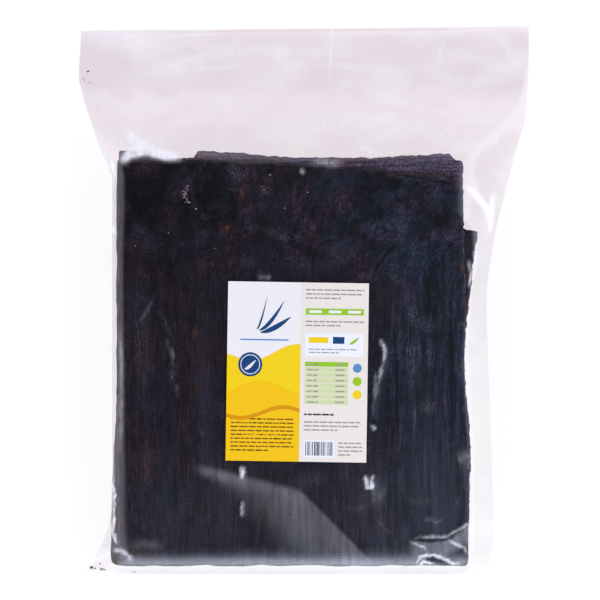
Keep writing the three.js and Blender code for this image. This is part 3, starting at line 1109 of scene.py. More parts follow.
@dataclass
class FilmBag:
    """The clear film round the stack: a front and a back sheet welded round the rim."""

    form: BagForm
    finish: FilmFinish = FilmFinish()
    columns: int = 260
    crowding: float = 0.5
    rows: tuple[int, ...] = (40, 196, 52, 12, 8, 12)
    line_inset: float = 12
    back_rows: int = 8
    least_gap: float = 0.25
    slope_step: float = 0.5
    seed: int = 11
    stack_low: Range = (-230, -205)
    stack_high: Range = (100, 135)
    taut: Ripple = Ripple(0.1, 26, 34, 2)
    taut_folds: Ripple = Ripple(0.08, 15, 24, 2, (9, 0))
    loose: Ripple = Ripple(0.5, 34, 24, 4)
    loose_lean: float = 0.68
    weld_calm: float = 0.75
    weld_approach: Range = (203, 213)
    foot_calm: float = 0.85
    foot_approach: Range = (-232, -212)
    lips: Ripple = Ripple(0.5, 26, 20)
    lip_start: Range = (-4, 6)
    crease_margin: Range = (1, 4)
    creases: tuple[Crease, ...] = creases_of(
        (1.25, 3, (63.5, -32), (68.5, -40), (70.8, -47), (68, -60), (65.5, -71)),
        (1.1, 2.6, (65.8, -68), (61, -86), (59.8, -96), (61, -106)),
        (0.8, 1.7, (57.5, -114), (63, -107)),
        (1.1, 2.6, (-54.6, -144), (-53.8, -157)),
        (1, 2.4, (-53.4, -174), (-54, -190)),
        (1.15, 2.7, (53, -151), (56.8, -166)),
        (1, 2.4, (60.5, -151), (59, -164)),
        (0.6, 1.2, (-134, 0), (-146, -21)),
        (1.3, 1.7, (-168, -150), (-165.8, -176.3), (-164.4, -189.4), (-167.5, -202)),
        (1.1, 1.6, (-164.4, -189.4), (-163.6, -203)),
        (1.3, 1.7, (-167.5, -200.8), (-162.7, -216)),
        (0.8, 2.4, (152, 60), (153, 0), (152, -110)),
        (0.6, 2, (160, 20), (158, -50), (160, -110)),
        (0.8, 3.5, (146, 118), (155, 92), (164, 62)),
        (0.6, 3, (152, 120), (163, 92), (169, 60)),
        (0.4, 6, (-150, 196), (-110, 210), (-84, 217), (-20, 218), (25, 212)),
        (0.6, 6, (-140, 193), (-100, 201), (-40, 204)),
        (0.5, 6, (-110, 232), (-70, 228), (-20, 230)),
        (0.45, 1.7, (26.5, 243), (27, 215), (29, 188)),
        (0.3, 1.5, (30.5, 243), (30, 220), (28, 205)),
        (0.35, 7, (124, 203), (150, 195), (175, 203), (180, 222)),
        (0.8, 3, (-178, 172), (-160, 165), (-150, 152)),
        (0.8, 3, (-187, 160), (-172, 150), (-166, 136)),
        (0.9, 3, (42, 150), (58, 136), (74, 128)),
        (0.7, 4, (20, 176), (60, 168), (100, 172)),
        (0.8, 1.4, (90.5, -210.5), (101, -207), (124.4, -207), (144.4, -195), (162, -190)),
        (0.9, 1.4, (124.4, -207), (128.8, -211.4), (139, -216.6), (142.7, -223.6)),
        (1, 1.4, (90.5, -210.5), (103.5, -215), (107.9, -220), (135.7, -232.3)),
        (2.2, 2.8, (97, -227.5), (104, -225.5), (122, -230), (139, -236)),
    )

    def places(self) -> tuple[Array, Array]:
        """Lay out the sheet's grid of places, crowded towards the side edges.

        Returns:
            The x and y of each place, by column and row.
        """
        form = self.form
        even = np.linspace(0.0, 1.0, self.columns + 1)
        shares = lerp(even, 0.5 - 0.5 * np.cos(np.pi * even), self.crowding)
        ones = np.ones(self.columns + 1)
        lines = [
            form.bottom_edge(shares),
            (form.stack_bottom + self.line_inset) * ones,
            (form.stack_top - self.line_inset) * ones,
            form.header_start * ones,
            form.weld_low * ones,
            form.weld_high * ones,
            lerp(form.lip_left, form.lip_right, shares),
        ]
        up = [lines[0][:, None]]
        for low, high, rows in zip(lines, lines[1:], self.rows):
            steps = np.arange(1, rows + 1) / rows
            up.append(lerp(low[:, None], high[:, None], steps[None, :]))
        y = np.concatenate(up, axis=1)
        left = form.left_edge(y)
        return lerp(left, form.right_edge(y), shares[:, None]), y

    def wrinkles(self, x: Array, y: Array) -> Array:
        """Return the folds and crinkles of the front sheet, measured out from its form.

        Args:
            x: Places across.
            y: Places up.

        Returns:
            How far each place is moved out.
        """
        form = self.form
        noise = LatticeNoise(self.seed)
        rise = sum(crease.rise_at(x, y) for crease in self.creases)
        rise *= form.off_label(x, y, self.crease_margin)
        on_stack = ease(y, self.stack_low) * fade(y, self.stack_high)
        taut = self.taut.at(noise, x, y) - np.abs(self.taut_folds.at(noise, x, y))
        taut *= form.off_label(x, y, form.label_calm)
        loose = self.loose.at(noise, x + self.loose_lean * y, y)
        loose *= 1 - self.weld_calm * ease(y, self.weld_approach)
        loose *= 1 - self.foot_calm * fade(y, self.foot_approach)
        lips = self.lips.at(noise, x, y) * ease(y - form.weld_high, self.lip_start)
        return rise + lerp(loose, taut, on_stack) + lips

    def sheet(self, x: Array, y: Array) -> Array:
        """Return the front sheet's points: the form, and wrinkles out along its slope.

        Args:
            x: Places across.
            y: Places up.

        Returns:
            A point for each place.
        """
        step = self.slope_step
        front = self.form.front
        slope_x = (front(x + step, y) - front(x - step, y)) / (2 * step)
        slope_y = (front(x, y + step) - front(x, y - step)) / (2 * step)
        normal = np.stack([-slope_x, -slope_y, np.ones(x.shape)], axis=-1)
        normal /= np.linalg.norm(normal, axis=-1, keepdims=True)
        inside = np.ones(x.shape)
        inside[[0, -1], :] = 0.0
        inside[:, [0, -1]] = 0.0
        points = np.stack([x, y, front(x, y)], axis=-1)
        return points + normal * (self.wrinkles(x, y) * inside)[..., None]

    def build(self) -> Piece:
        """Make the film.

        Returns:
            The film, seated in place of the bag.
        """
        x, y = self.places()
        back = np.stack([x, y, self.form.back(x, y)], axis=-1)
        front = self.sheet(x, y)
        front[..., 2] = np.maximum(front[..., 2], back[..., 2] + self.least_gap)
        points, faces = thin_body(front, back, self.back_rows)
        parts = MeshParts()
        parts.add(points, faces)
        piece = parts.build("film", [self.finish.material()])
        # Painted reflections of the lamps, drawn as cloudiness by the film's finish.
        painted_reflection = np.zeros(len(points), np.float32)
        painted_reflection[: x.size] = FilmPaintedReflections(self.form).at(x, y).ravel()
        piece.data.attributes.new("painted_reflection", "FLOAT", "POINT").data.foreach_set("value", painted_reflection)
        return seat(piece, "bag")


@dataclass(frozen=True)
class Slab:
    """One sheet of the pile under the front one: its height, its torn outline and how much lighter it is
    drawn, which above one is a painted sheen.
    """

    high: float
    thick: float
    left: float
    right: Curve
    top: Curve
    bottom: float
    # How many times lighter the sheet is drawn; above one it is a painted sheen over the strip that shows.
    light: float = 1


@dataclass(frozen=True)
class Stain:
    """A soft patch of the leaf: its place, half sizes and turn, and what it adds to hue, light, and bloom and
    sheen.
    """

    SHARPNESS = 1.5

    x: float
    y: float
    wide: float
    tall: float
    hue: float = 0
    light: float = 0
    bloom_and_sheen: float = 0
    turn: float = 0

    def share_at(self, x: Array, y: Array) -> Array:
        """Read the patch: one in its middle, fading past its half sizes.

        Args:
            x: Places across.
            y: Places up.

        Returns:
            The patch's strength.
        """
        turn = math.radians(self.turn)
        dx, dy = x - self.x, y - self.y
        across = (dx * math.cos(turn) + dy * math.sin(turn)) / self.wide
        up = (dy * math.cos(turn) - dx * math.sin(turn)) / self.tall
        return np.exp(-((across * across + up * up) ** self.SHARPNESS))


@dataclass(frozen=True)
class LeafStainsAndShade:
    """The front sheet's light, hue, and bloom and sheen: broad mottling, streaks and folds, single stains,
    one painted glare patch, painted shade in its hollows and broad painted light and shade.
    """

    form: BagForm
    seed: int = 8
    swirl_blend: Range = (10, 60)
    stretch: float = 2.6
    right_side: Range = (20, 90)
    left_side: Range = (-110, -30)
    middle: Range = (-60, 0)
    mottle: Ripple = Ripple(1, 17, 17, 4)
    mottle_swirled: float = 0.62
    mottle_straight: float = 0.17
    mottle_middle: float = 0.11
    mottle_right: float = 0.16
    mottle_left: float = 0.45
    streaks: Ripple = Ripple(1, 3.2, 45, 3, (11, 0))
    streak_least: float = 0.04
    streak_right: float = 0.62
    bend: Ripple = Ripple(6, 30, 30, 3, (0, 5))
    bend_up: float = 1.6
    folds: Ripple = Ripple(1, 8, 11, 3, (30, 14))
    fold_swirled: float = 0.42
    fold_left: float = 0.4
    fold_limits: Range = (0.2, 2.2)
    hue_middle: float = 0.445
    hue_right: float = -0.0015
    hue_left: float = -0.0004
    tint: Ripple = Ripple(1, 17, 17, 5)
    tint_share: Range = (0.2, 0.16)
    dust: Ripple = Ripple(1, 9, 12, 4, (20, 9))
    dust_span: Range = (0.72, 1.25)
    dust_bloom: float = 0.1
    least_light: float = 0.12
    dim_corner: Point = (-165, 130)
    dim_reach: float = 190
    dim: float = 0.52
    right_light: Range = (0.15, 0.4)
    right_up: Range = (-150, -60)
    top_light: float = 0.18
    top_across: Range = (-80, 10)
    left_light: float = 0.08
    low_left_dim: float = 0.13
    low_left_across: Range = (-90, -40)
    low_left_down: Range = (110, 150)
    foot_light: float = 0.14
    foot_down: Range = (110, 190)
    stain_hue: float = 0.62
    stain_bloom_and_sheen: float = 1.7
    hollow_reach: int = 4
    hollow_shade: float = 0.75
    hollow_limits: Range = (-0.3, 0.9)
    stains: tuple[Stain, ...] = (
        Stain(-133.5, 90.5, 10, 12, hue=-0.35, light=-0.35),
        Stain(-144, 90, 2, 9, hue=0.4, light=0.3),
        Stain(-83, 87, 8, 17, hue=0.12, light=-0.5),
        Stain(-80, 72, 10, 5, hue=-0.2, light=-0.35),
        Stain(-84, 81, 3, 2.5, hue=0.4, light=0.5),
        Stain(-67.5, 61.5, 7, 3.5, hue=0.45, light=0.35),
        Stain(-54.7, 92, 1.8, 6, hue=0.4, light=0.5),
        # Painted glare: this patch is drawn as lighter, bloomed leaf.
        Stain(-58, 110, 12, 8, light=0.5, bloom_and_sheen=0.10),
        Stain(-34, 94, 5, 4, light=0.4, bloom_and_sheen=0.14),
        Stain(-49, 32, 8, 14, hue=-0.3),
        Stain(-30, 58, 24, 4, light=0.3, bloom_and_sheen=0.05, turn=-18),
        Stain(10.5, 63, 5, 22, hue=0.38, light=0.45, turn=-32),
        Stain(61, 73, 10, 5.5, hue=-0.3, light=-0.6, turn=25),
        Stain(44, 66, 12, 4, hue=-0.15, light=-0.3, turn=20),
        Stain(80, 100.4, 5.5, 5.5, hue=-0.25, light=-0.65),
        Stain(34, 100, 5, 4.5, hue=-0.3, light=-0.35),
        Stain(93, 100, 30, 8, hue=-0.2, light=-0.15),
        Stain(96, 38, 12, 11, hue=-0.35, light=0.1),
        Stain(80, 22, 8, 8, hue=-0.15, light=0.4, bloom_and_sheen=0.05),
        Stain(-150, 40, 12, 30, hue=0.2, light=-0.1),
        Stain(-110, 45, 26, 22, hue=-0.15, light=-0.2),
        Stain(-141, -30, 7, 44, hue=-0.12, light=0.5, bloom_and_sheen=0.05),
        Stain(-136, -91, 9, 21, hue=-0.4, light=0.1),
        Stain(-97, -55, 26, 60, hue=0.16),
        Stain(-95.5, -31, 2.5, 8, hue=0.4, light=0.45),
        Stain(-92, -80, 1.8, 9, hue=0.4, light=0.4),
        Stain(-115, -67, 2, 7, light=0.5, bloom_and_sheen=0.20),
        Stain(-120, -23, 2.5, 12, light=0.3, bloom_and_sheen=0.14, turn=24),
        Stain(80, -40, 9, 13, hue=-0.12, light=0.35, bloom_and_sheen=0.03),
        Stain(94.5, -55, 6, 20, hue=-0.1, light=0.4, bloom_and_sheen=0.12),
        Stain(106, -22, 9, 7, light=0.3, bloom_and_sheen=0.12),
        Stain(95, -14, 4, 8, light=0.3, bloom_and_sheen=0.14),
        Stain(110, -48, 4, 12, light=0.3, bloom_and_sheen=0.12),
        Stain(108, -94, 8, 6, light=0.3, bloom_and_sheen=0.12),
        Stain(96, -102, 1.5, 14, light=0.3, bloom_and_sheen=0.16),
        Stain(124, -136, 2.2, 20, hue=0.45, light=0.3),
        Stain(90, -150, 12, 30, hue=-0.2, light=0.1),
        Stain(139, -114, 3, 60, hue=0.3, light=0.1),
        Stain(62, -190, 22, 18, hue=0.22, light=-0.16),
        Stain(127, -137, 1.2, 6, hue=0.7, light=0.6),
        Stain(136, -146, 1, 4, hue=0.7, light=0.6),
        Stain(117, -150, 1.4, 7, hue=0.6, light=0.4),
    )

    def hollows(self, relief: Array) -> Array:
        """Find the hollows, which are drawn with painted shade.

        Args:
            relief: The sheet's relief.

        Returns:
            How far each place lies below the mean of its surroundings, within limits.
        """
        size = 2 * self.hollow_reach + 1
        padded = np.pad(relief, self.hollow_reach, mode="edge")
        total = np.zeros(relief.shape)
        for across in range(size):
            for up in range(size):
                total += padded[across : across + relief.shape[0], up : up + relief.shape[1]]
        return np.clip(total / size**2 - relief, *self.hollow_limits)

    def painted_light(self, x: Array, y: Array, straight: Array, right: Array, left: Array) -> Array:
        """Read the broad painted light and shade over the sheet, darker at the upper left corner and lighter
        to the right.

        Args:
            x: Places across.
            y: Places up.
            straight: Share of straight blades at each place.
            right: How far each place is on the right side.
            left: How far each place is in the swirled part's left side.

        Returns:
            The light of each place.
        """
        corner = np.hypot(x - self.dim_corner[0], y - self.dim_corner[1])
        light = 1 - self.dim * hump(corner, self.dim_reach)
        light *= 1 + lerp(*self.right_light, ease(y, self.right_up)) * right
        top = ease(x, self.top_across) * (1 - straight)
        light *= 1 + self.top_light * top + self.left_light * left
        low_left = fade(x, self.low_left_across) * fade(-y, self.low_left_down)
        light *= 1 - self.low_left_dim * low_left * straight
        return light * (1 + self.foot_light * ease(-y, self.foot_down))

    def at(self, x: Array, y: Array, relief: Array) -> tuple[Array, Array, Array]:
        """Stain the front sheet, and paint light and shade over it.

        Args:
            x: Places across.
            y: Places up.
            relief: The sheet's relief, whose hollows get painted shade.

        Returns:
            The light, hue, and bloom and sheen of each place, the light with painted light and shade in it.
        """
        noise, hues = LatticeNoise(self.seed), LatticeNoise(self.seed + 1)
        straight = fade(y, self.swirl_blend)
        squashed = y / lerp(1.0, self.stretch, straight)
        right = ease(x, self.right_side)
        left = fade(x, self.left_side) * (1 - straight)
        broad = self.mottle_straight + self.mottle_middle * ease(x, self.middle)
        broad = lerp(self.mottle_swirled, broad, straight)
        broad += self.mottle_right * right + self.mottle_left * left
        light = 1 + broad * self.mottle.at(noise, x, squashed)
        streaked = (self.streak_least + self.streak_right * right) * straight
        light *= 1 + streaked * self.streaks.at(noise, x, y)
        bent = self.bend.at(hues, x, y)
        folded = self.fold_swirled * (1 - straight) + self.fold_left * left
        folds = self.folds.at(noise, x + bent, y + self.bend_up * bent)
        light *= np.clip(1 + folded * folds, *self.fold_limits)
        # Painted light and shade over the whole sheet.
        light = np.maximum(light, self.least_light) * self.painted_light(x, y, straight, right, left)
        aside = x - self.form.label_x
        hue = self.hue_middle + aside * np.where(aside > 0.0, self.hue_right, self.hue_left)
        hue += lerp(*self.tint_share, straight) * self.tint.at(hues, x, squashed)
        bloom_and_sheen = self.dust_bloom * ease(self.dust.at(noise, x, squashed), self.dust_span)
        for stain in self.stains:
            share = stain.share_at(x, y)
            light *= 1 + stain.light * share
            hue += self.stain_hue * stain.hue * share
            bloom_and_sheen += self.stain_bloom_and_sheen * stain.bloom_and_sheen * share
        # Painted shade: the relief's hollows are drawn darker.
        light *= 1 - self.hollow_shade * self.hollows(relief)
        return light, np.clip(hue, 0.0, 1.0), bloom_and_sheen


@dataclass(frozen=True)
class PressedBlades:
    """Long leaf blades pressed over each other, straight below and swirled in the upper third."""

    seed: int = 5
    count: int = 46
    warp: Range = (3, 15)
    warp_blend: Range = (15, 80)
    swirl: Ripple = Ripple(1, 60, 60, 4)
    swirl_blend: Range = (5, 60)
    swirl_grain: float = 0.55
    swirl_crowding: float = 7
    end: float = 14
    lip: float = 0.2
    lip_power: int = 4
    side: Range = (0.92, 1.1)
    drop: float = 2

    def press(self, x: Array, y: Array) -> tuple[Array, Array]:
        """Press the blades.

        Args:
            x: Places across.
            y: Places up.

        Returns:
            The relief of the blades, and the grain: places across and along the fibres, and a zero.
        """
        rng = np.random.default_rng(self.seed)
        warp = lerp(*self.warp, ease(y, self.warp_blend))
        across = x + warp * self.swirl.at(LatticeNoise(self.seed + 7), x, y)
        along = y + warp * self.swirl.at(LatticeNoise(self.seed + 8), x, y)
        swirled = ease(y, self.swirl_blend)
        wide = lerp(1.0, self.swirl_grain, swirled)
        along_grain = along * lerp(1.0, self.swirl_crowding, swirled)
        relief, none = np.zeros(x.shape), np.zeros(x.shape)
        grain = np.stack([across * wide, along_grain, none], axis=-1)
        for _ in range(self.count):
            centre, lean = rng.uniform(-180.0, 160.0), rng.normal(0.0, 0.045)
            wobble, pitch, phase = rng.uniform(1.0, 4.0), rng.uniform(45.0, 110.0), rng.uniform(0.0, 6.3)
            low, high = rng.uniform(-420.0, -40.0), rng.uniform(-60.0, 190.0)
            half_width, level, shift = rng.uniform(5.0, 22.0), rng.uniform(-0.3, 0.7), rng.uniform(0.0, 100.0)
            off = across - centre - lean * along - wobble * np.sin(along / pitch + phase)
            away = np.abs(off) / half_width
            ends = ease(along, (low, low + self.end)) * fade(along, (high - self.end, high))
            body = level + self.lip * np.minimum(away, 1.0) ** self.lip_power
            body -= self.drop * ease(away, self.side)
            body -= self.drop * (1 - ends)
            higher = body > relief
            relief[higher] = body[higher]
            grain[higher] = np.stack([off * wide + shift, along_grain, none], axis=-1)[higher]
        return relief, grain


@dataclass(frozen=True)
class TornEdges:
    """The layers of noise along a sheet's four torn edges."""

    left: tuple[Ripple, ...]
    right: tuple[Ripple, ...]
    top: tuple[Ripple, ...]
    bottom: tuple[Ripple, ...]


def torn(tears: Sequence[Ripple], noise: LatticeNoise, along: Array) -> Array:
    """Return how far several layers of noise together move a torn edge out."""
    return sum(tear.at(noise, along, 0.0) for tear in tears)


@dataclass
class WakameStack:
    """The pressed sheets in the bag: a detailed front sheet over a pile of ragged ones."""

    form: BagForm
    finish: WakameFinish = WakameFinish()
    blades: PressedBlades = PressedBlades()
    seed: int = 5
    columns: int = 270
    rows: int = 330
    under_film: float = 2.4
    front_thick: float = 1.4
    combing: Ripple = Ripple(0.2, 6, 50)
    combed: Range = (1, 0.25)
    comb_blend: Range = (10, 60)
    rolling: Ripple = Ripple(0.45, 22, 26)
    relief_limits: Range = (-1.6, 1.2)
    rim_wear: tuple[float, ...] = (1, 0.9, 0.6, 0.3)
    grooves: tuple[Crease, ...] = creases_of(
        (-1.3, 1.3, (8.6, 14), (7.5, 35), (11.6, 45.4), (21, 50.6), (38, 52.4)),
        (-1.2, 1.3, (59.4, 16), (64.5, 30.7), (75, 43), (80, 52)),
        (-1.2, 1.3, (117, 28), (122.6, 41), (131, 51.5)),
        (-1.2, 1.3, (-145, 98), (-141, 103.5), (-128, 104), (-123, 97), (-124, 84)),
        (-1.4, 1.6, (-92, 98), (-91, 84), (-84, 71), (-76, 69), (-71, 78)),
        (-1.2, 1.4, (-90, 100), (-83, 104), (-76, 101)),
        (-0.8, 1.2, (-158, 62), (-140, 56), (-112, 60)),
        (-1.2, 1.5, (80, -2), (78, -30), (81, -75), (80, -125)),
        (-1.3, 1.2, (98, -20), (97.5, -70), (100, -130)),
        (-1.1, 1.2, (121, -45), (119, -85), (123, -125)),
        (-1.1, 1.3, (-62, -150), (-61, -185), (-63, -222)),
        (-0.9, 1.3, (-114, -128), (-112, -170), (-115, -215)),
        (-0.9, 1.3, (30, -150), (33, -190), (31, -222)),
        (-1, 1.3, (107, -140), (109, -170), (106, -200)),
        (-0.9, 1.2, (-148, 5), (-150, -40), (-147, -95)),
        (-0.8, 1.2, (-118, 20), (-120, -30), (-117, -70)),
    )
    pit_depth: float = 1.3
    pits: tuple[tuple[float, float, float, float], ...] = (
        (-83, 87, 9, 18),
        (61, 73, 10, 6),
        (80, 100.4, 6, 6),
    )
    front_left: float = -160.5
    front_left_out: float = 2
    front_left_up: Range = (10, 55)
    front_right: Curve = Curve((-231, 141), (-133, 142), (-52, 139), (0, 140), (60, 139), (120, 138))
    front_top: Curve = Curve(
        *((-162, 119.5), (-95, 121.5), (-56, 120), (6, 114.6), (50, 112.5)),
        *((71, 110), (93, 106.5), (125, 100), (138, 96)),
    )
    front_bottom: float = -231
    front_tears: TornEdges = TornEdges(
        left=(Ripple(0.7, 8, 1, 4, (0, 3.5)),),
        right=(Ripple(0.8, 17, 1, 5, (0, 5.5)), Ripple(0.4, 2.2, 1, 1, (0, 6.5))),
        top=(Ripple(0.5, 6, 1, 4, (0, 0.5)),),
        bottom=(Ripple(0.8, 21, 1, 5, (0, 8.5)),),
    )
    middle_top: Curve = Curve((-162, 117), (28, 111), (93, 111), (138, 107))
    second_top: Curve = Curve(
        *((-163, 131), (-139, 130), (-128, 126), (-110, 123), (-97, 123), (-92, 129), (-61, 128)),
        *((-26, 124.8), (6, 123.6), (70, 123.6), (93, 125), (128, 126.9), (136, 121.4)),
    )
    straight_right: Curve = Curve(
        (-235, 142), (-133, 143.5), (-52, 139.5), (0, 141), (60, 139), (120, 138)
    )
    flap_right: Curve = Curve(
        (-235, 143), (-133, 145), (-50, 139.5), (-2, 144.5), (30, 148), (60.5, 151), (62.5, 139)
    )
    pile_top: Curve = Curve((-163, 123), (140, 121))
    pile_right: Curve = Curve(
        (-235, 143.5), (-133, 145.5), (-50, 140), (0, 143), (60, 140), (120, 138.5)
    )
    # The two highest sheets are drawn lighter, a painted sheen over their strips.
    upper_slabs: tuple[Slab, ...] = (
        Slab(53, 2.3, -161.6, straight_right, middle_top, -224, 2.2),
        Slab(50.2, 2.8, -162.3, straight_right, second_top, -227, 5.6),
        Slab(47.1, 2.8, -163, flap_right, pile_top, -230),
    )
    pile_count: int = 14
    pile_pitch: float = 3.1
    pile_thick: float = 2.8
    pile_left: float = -163.4
    pile_bottom: float = -232.5
    pile_shift: float = 1.3
    pile_left_share: float = 0.6
    pile_bottom_share: float = 0.8
    slab_tears: TornEdges = TornEdges(
        left=(Ripple(0.7, 16, 1, 5, (0, 3.5)),),
        right=(Ripple(0.9, 8, 1, 5, (0, 5.5)), Ripple(0.55, 1.7, 1, 1, (0, 6.5))),
        top=(Ripple(0.8, 6.5, 1, 5, (0, 0.5)), Ripple(0.4, 1.7, 1, 1, (0, 1.5))),
        bottom=(Ripple(1.1, 31, 1, 6, (0, 8.5)),),
    )
    slab_seed: int = 45
    left_spread: float = 5
    spread_down: Range = (60, 210)
    rim_points: int = 640
    upper_rim_points: int = 1700
    trace_points: int = 20001
    half: Point = (152, 178)
    far_corner: Point = (140, 123)
    squareness: float = 90
    film_clearance: float = 0.8
    back_clearance: float = 0.3
    least_fit: float = 0.7
    fit_rounds: int = 14
    rings: tuple[Triple, ...] = (
        (0.9, 1, 0.5),
        (0, 0.75, 1),
        (0, 0.3, 1),
        (0.6, 0.05, 0.8),
        (2, 0, 0.35),
        (6, 0, 0.22),
        (16, 0, 0),
    )
    slab_relief: Ripple = Ripple(0.35, 9, 40, 3, (0, 20))
    slab_tint: Ripple = Ripple(0.22, 20, 4)
    slab_hue: float = 0.5
    slab_mottle: Ripple = Ripple(0.5, 14, 3, 4, (5, 0))
    mottle_limits: Range = (0.2, 2)
    grain_shift: float = 41
    sheet_painted_sheen: float = 0.06

    def outline(self) -> tuple[Array, Array]:
        """Lay out the front sheet's grid of places inside its torn edges.

        Returns:
            The x and y of each place, by column and row.
        """
        noise, tears = LatticeNoise(self.seed), self.front_tears
        across = np.linspace(0.0, 1.0, self.columns + 1)[:, None]
        up = np.linspace(0.0, 1.0, self.rows + 1)[None, :]
        guess = lerp(self.form.stack_left, self.form.stack_right, across)
        top = self.front_top(guess) + torn(tears.top, noise, guess)
        bottom = self.front_bottom + torn(tears.bottom, noise, guess)
        y = lerp(bottom, top, up)
        left = self.front_left - self.front_left_out * ease(y, self.front_left_up)
        left = left + torn(tears.left, noise, y)
        right = self.front_right(y) + torn(tears.right, noise, y)
        return lerp(left, right, across), y

    def relief(self, x: Array, y: Array) -> tuple[Array, Array]:
        """Shape the front sheet.

        Args:
            x: Places across.
            y: Places up.

        Returns:
            The sheet's relief, and the grain of its fibres.
        """
        relief, grain = self.blades.press(x, y)
        noise = LatticeNoise(self.seed + 1)
        combed = lerp(*self.combed, ease(y, self.comb_blend))
        relief += combed * self.combing.at(noise, grain[..., 0], grain[..., 1])
        relief += self.rolling.at(noise, x, y)
        relief += sum(groove.rise_at(x, y) for groove in self.grooves)
        for pit_x, pit_y, wide, tall in self.pits:
            relief -= self.pit_depth * hump(np.hypot((x - pit_x) / wide, (y - pit_y) / tall), 1.0)
        return np.clip(relief, *self.relief_limits), grain

    def front_sheet(self) -> Piece:
        """Make the front sheet of pressed blades.

        Returns:
            The sheet, seated in the bag's place.
        """
        x, y = self.outline()
        relief, grain = self.relief(x, y)
        z = self.form.front(x, y, 0.0) - self.under_film + relief
        points = np.stack([x, y, z], axis=-1).reshape(-1, 3)
        loop = rim_loop(self.columns, self.rows)
        under = points[loop] - (0.0, 0.0, self.front_thick)
        faces = grid_faces(self.columns, self.rows)
        first = len(points)
        last = first + len(loop)
        for step, here in enumerate(loop):
            ahead = (step + 1) % len(loop)
            faces.append([here, first + step, first + ahead, loop[ahead]])
            faces.append([first + step, last, first + ahead])
        parts = MeshParts()
        parts.add(np.concatenate([points, under, under.mean(axis=0)[None]]), faces)
        piece = parts.build("wakame_front_sheet", [self.finish.material()])
        edge = np.zeros(x.shape)
        for inset, amount in reversed(list(enumerate(self.rim_wear))):
            edge[[inset, -1 - inset], :] = amount
            edge[:, [inset, -1 - inset]] = amount
        # The leaf's tone, stains and bloom, with painted light, shade and sheen.
        light, hue, grain[..., 2] = LeafStainsAndShade(self.form).at(x, y, relief)
        wear_and_shade = np.stack([edge, light, hue], axis=-1).reshape(-1, 3)
        flat = grain.reshape(-1, 3)
        base = np.zeros((1, 3))
        self.mark(piece, np.concatenate([flat, flat[loop], base]), np.concatenate([wear_and_shade, wear_and_shade[loop], base]))
        return seat(piece, "bag")

    def pile_slabs(self) -> list[Slab]:
        """List the sheets under the upper ones, down to the floor."""
        rng = np.random.default_rng(self.seed + 2)
        slabs = []
        for place in range(1, self.pile_count + 1):
            right, top, left, bottom = rng.normal(0.0, self.pile_shift, 4)
            slab = Slab(
                high=self.upper_slabs[-1].high - self.pile_pitch * place,
                thick=self.pile_thick,
                left=self.pile_left + self.pile_left_share * left,
                right=self.pile_right.moved(right),
                top=self.pile_top.moved(top),
                bottom=self.pile_bottom + self.pile_bottom_share * bottom,
            )
            slabs.append(slab)
        return slabs

    def rim(self, slab: Slab, noise: LatticeNoise, count: int) -> Callable[[Array], tuple[Array, Array]]:
        """Trace one sheet's torn outline.

        Args:
            slab: The sheet.
            noise: Noise of its torn edge.
            count: How many points the outline has.

        Returns:
            A function from a share of the outline's full size, for each point, to the points' x and y.
        """
        angle = np.linspace(0.0, 2 * np.pi, self.trace_points)
        power, tears = self.squareness, self.slab_tears
        half_x, half_y = self.half
        closeness = np.abs(np.cos(angle) / half_x) ** power + np.abs(np.sin(angle) / half_y) ** power
        reach = closeness ** (-1 / power)
        x, y = reach * np.cos(angle), reach * np.sin(angle)
        walked = np.concatenate([[0.0], np.cumsum(np.hypot(np.diff(x), np.diff(y)))])
        even = np.linspace(0.0, walked[-1], count, endpoint=False)
        unit_x, unit_y = np.interp(even, walked, x) / half_x, np.interp(even, walked, y) / half_y

        def at(scale: Array) -> tuple[Array, Array]:
            """Place the outline.

            Args:
                scale: Share of the outline's full size, for each point.

            Returns:
                The points' x and y.
            """
            across, up = 0.5 + 0.5 * unit_x * scale, 0.5 + 0.5 * unit_y * scale
            guess_x = lerp(slab.left, self.far_corner[0], across)
            guess_y = lerp(slab.bottom, self.far_corner[1], up)
            left = slab.left - self.left_spread * ease(-guess_y, self.spread_down)
            left += torn(tears.left, noise, guess_y)
            right = slab.right(guess_y) + torn(tears.right, noise, guess_y)
            top = slab.top(guess_x) + torn(tears.top, noise, guess_x)
            bottom = slab.bottom + torn(tears.bottom, noise, guess_x)
            return lerp(left, right, across), lerp(bottom, top, up)

        return at

    def fit(self, slab: Slab, at: Callable[[Array], tuple[Array, Array]], count: int) -> Array:
        """Draw an outline in to where its sheet stays inside the film.

        Args:
            slab: The sheet.
            at: The function that gives the outline's points at a share of its size.
            count: How many points the outline has.

        Returns:
            The largest share that fits, for each point.
        """
        low, high = np.full(count, self.least_fit), np.full(count, 1.0)
        for _ in range(self.fit_rounds):
            middle = (low + high) / 2
            x, y = at(middle)
            over = self.form.front(x, y, 0.0) - self.film_clearance > slab.high
            under = self.form.back(x, y) + self.back_clearance < slab.high - slab.thick
            low = np.where(over & under, middle, low)
            high = np.where(over & under, high, middle)
        return low

    def pile(self) -> list[Piece]:
        """Make the upper sheets and the pile under them, and return both pieces."""
        upper = self.upper_slabs
        return [
            self.sheets("wakame_upper_sheets", upper, 0, self.upper_rim_points),
            self.sheets("wakame_pile", self.pile_slabs(), len(upper), self.rim_points),
        ]

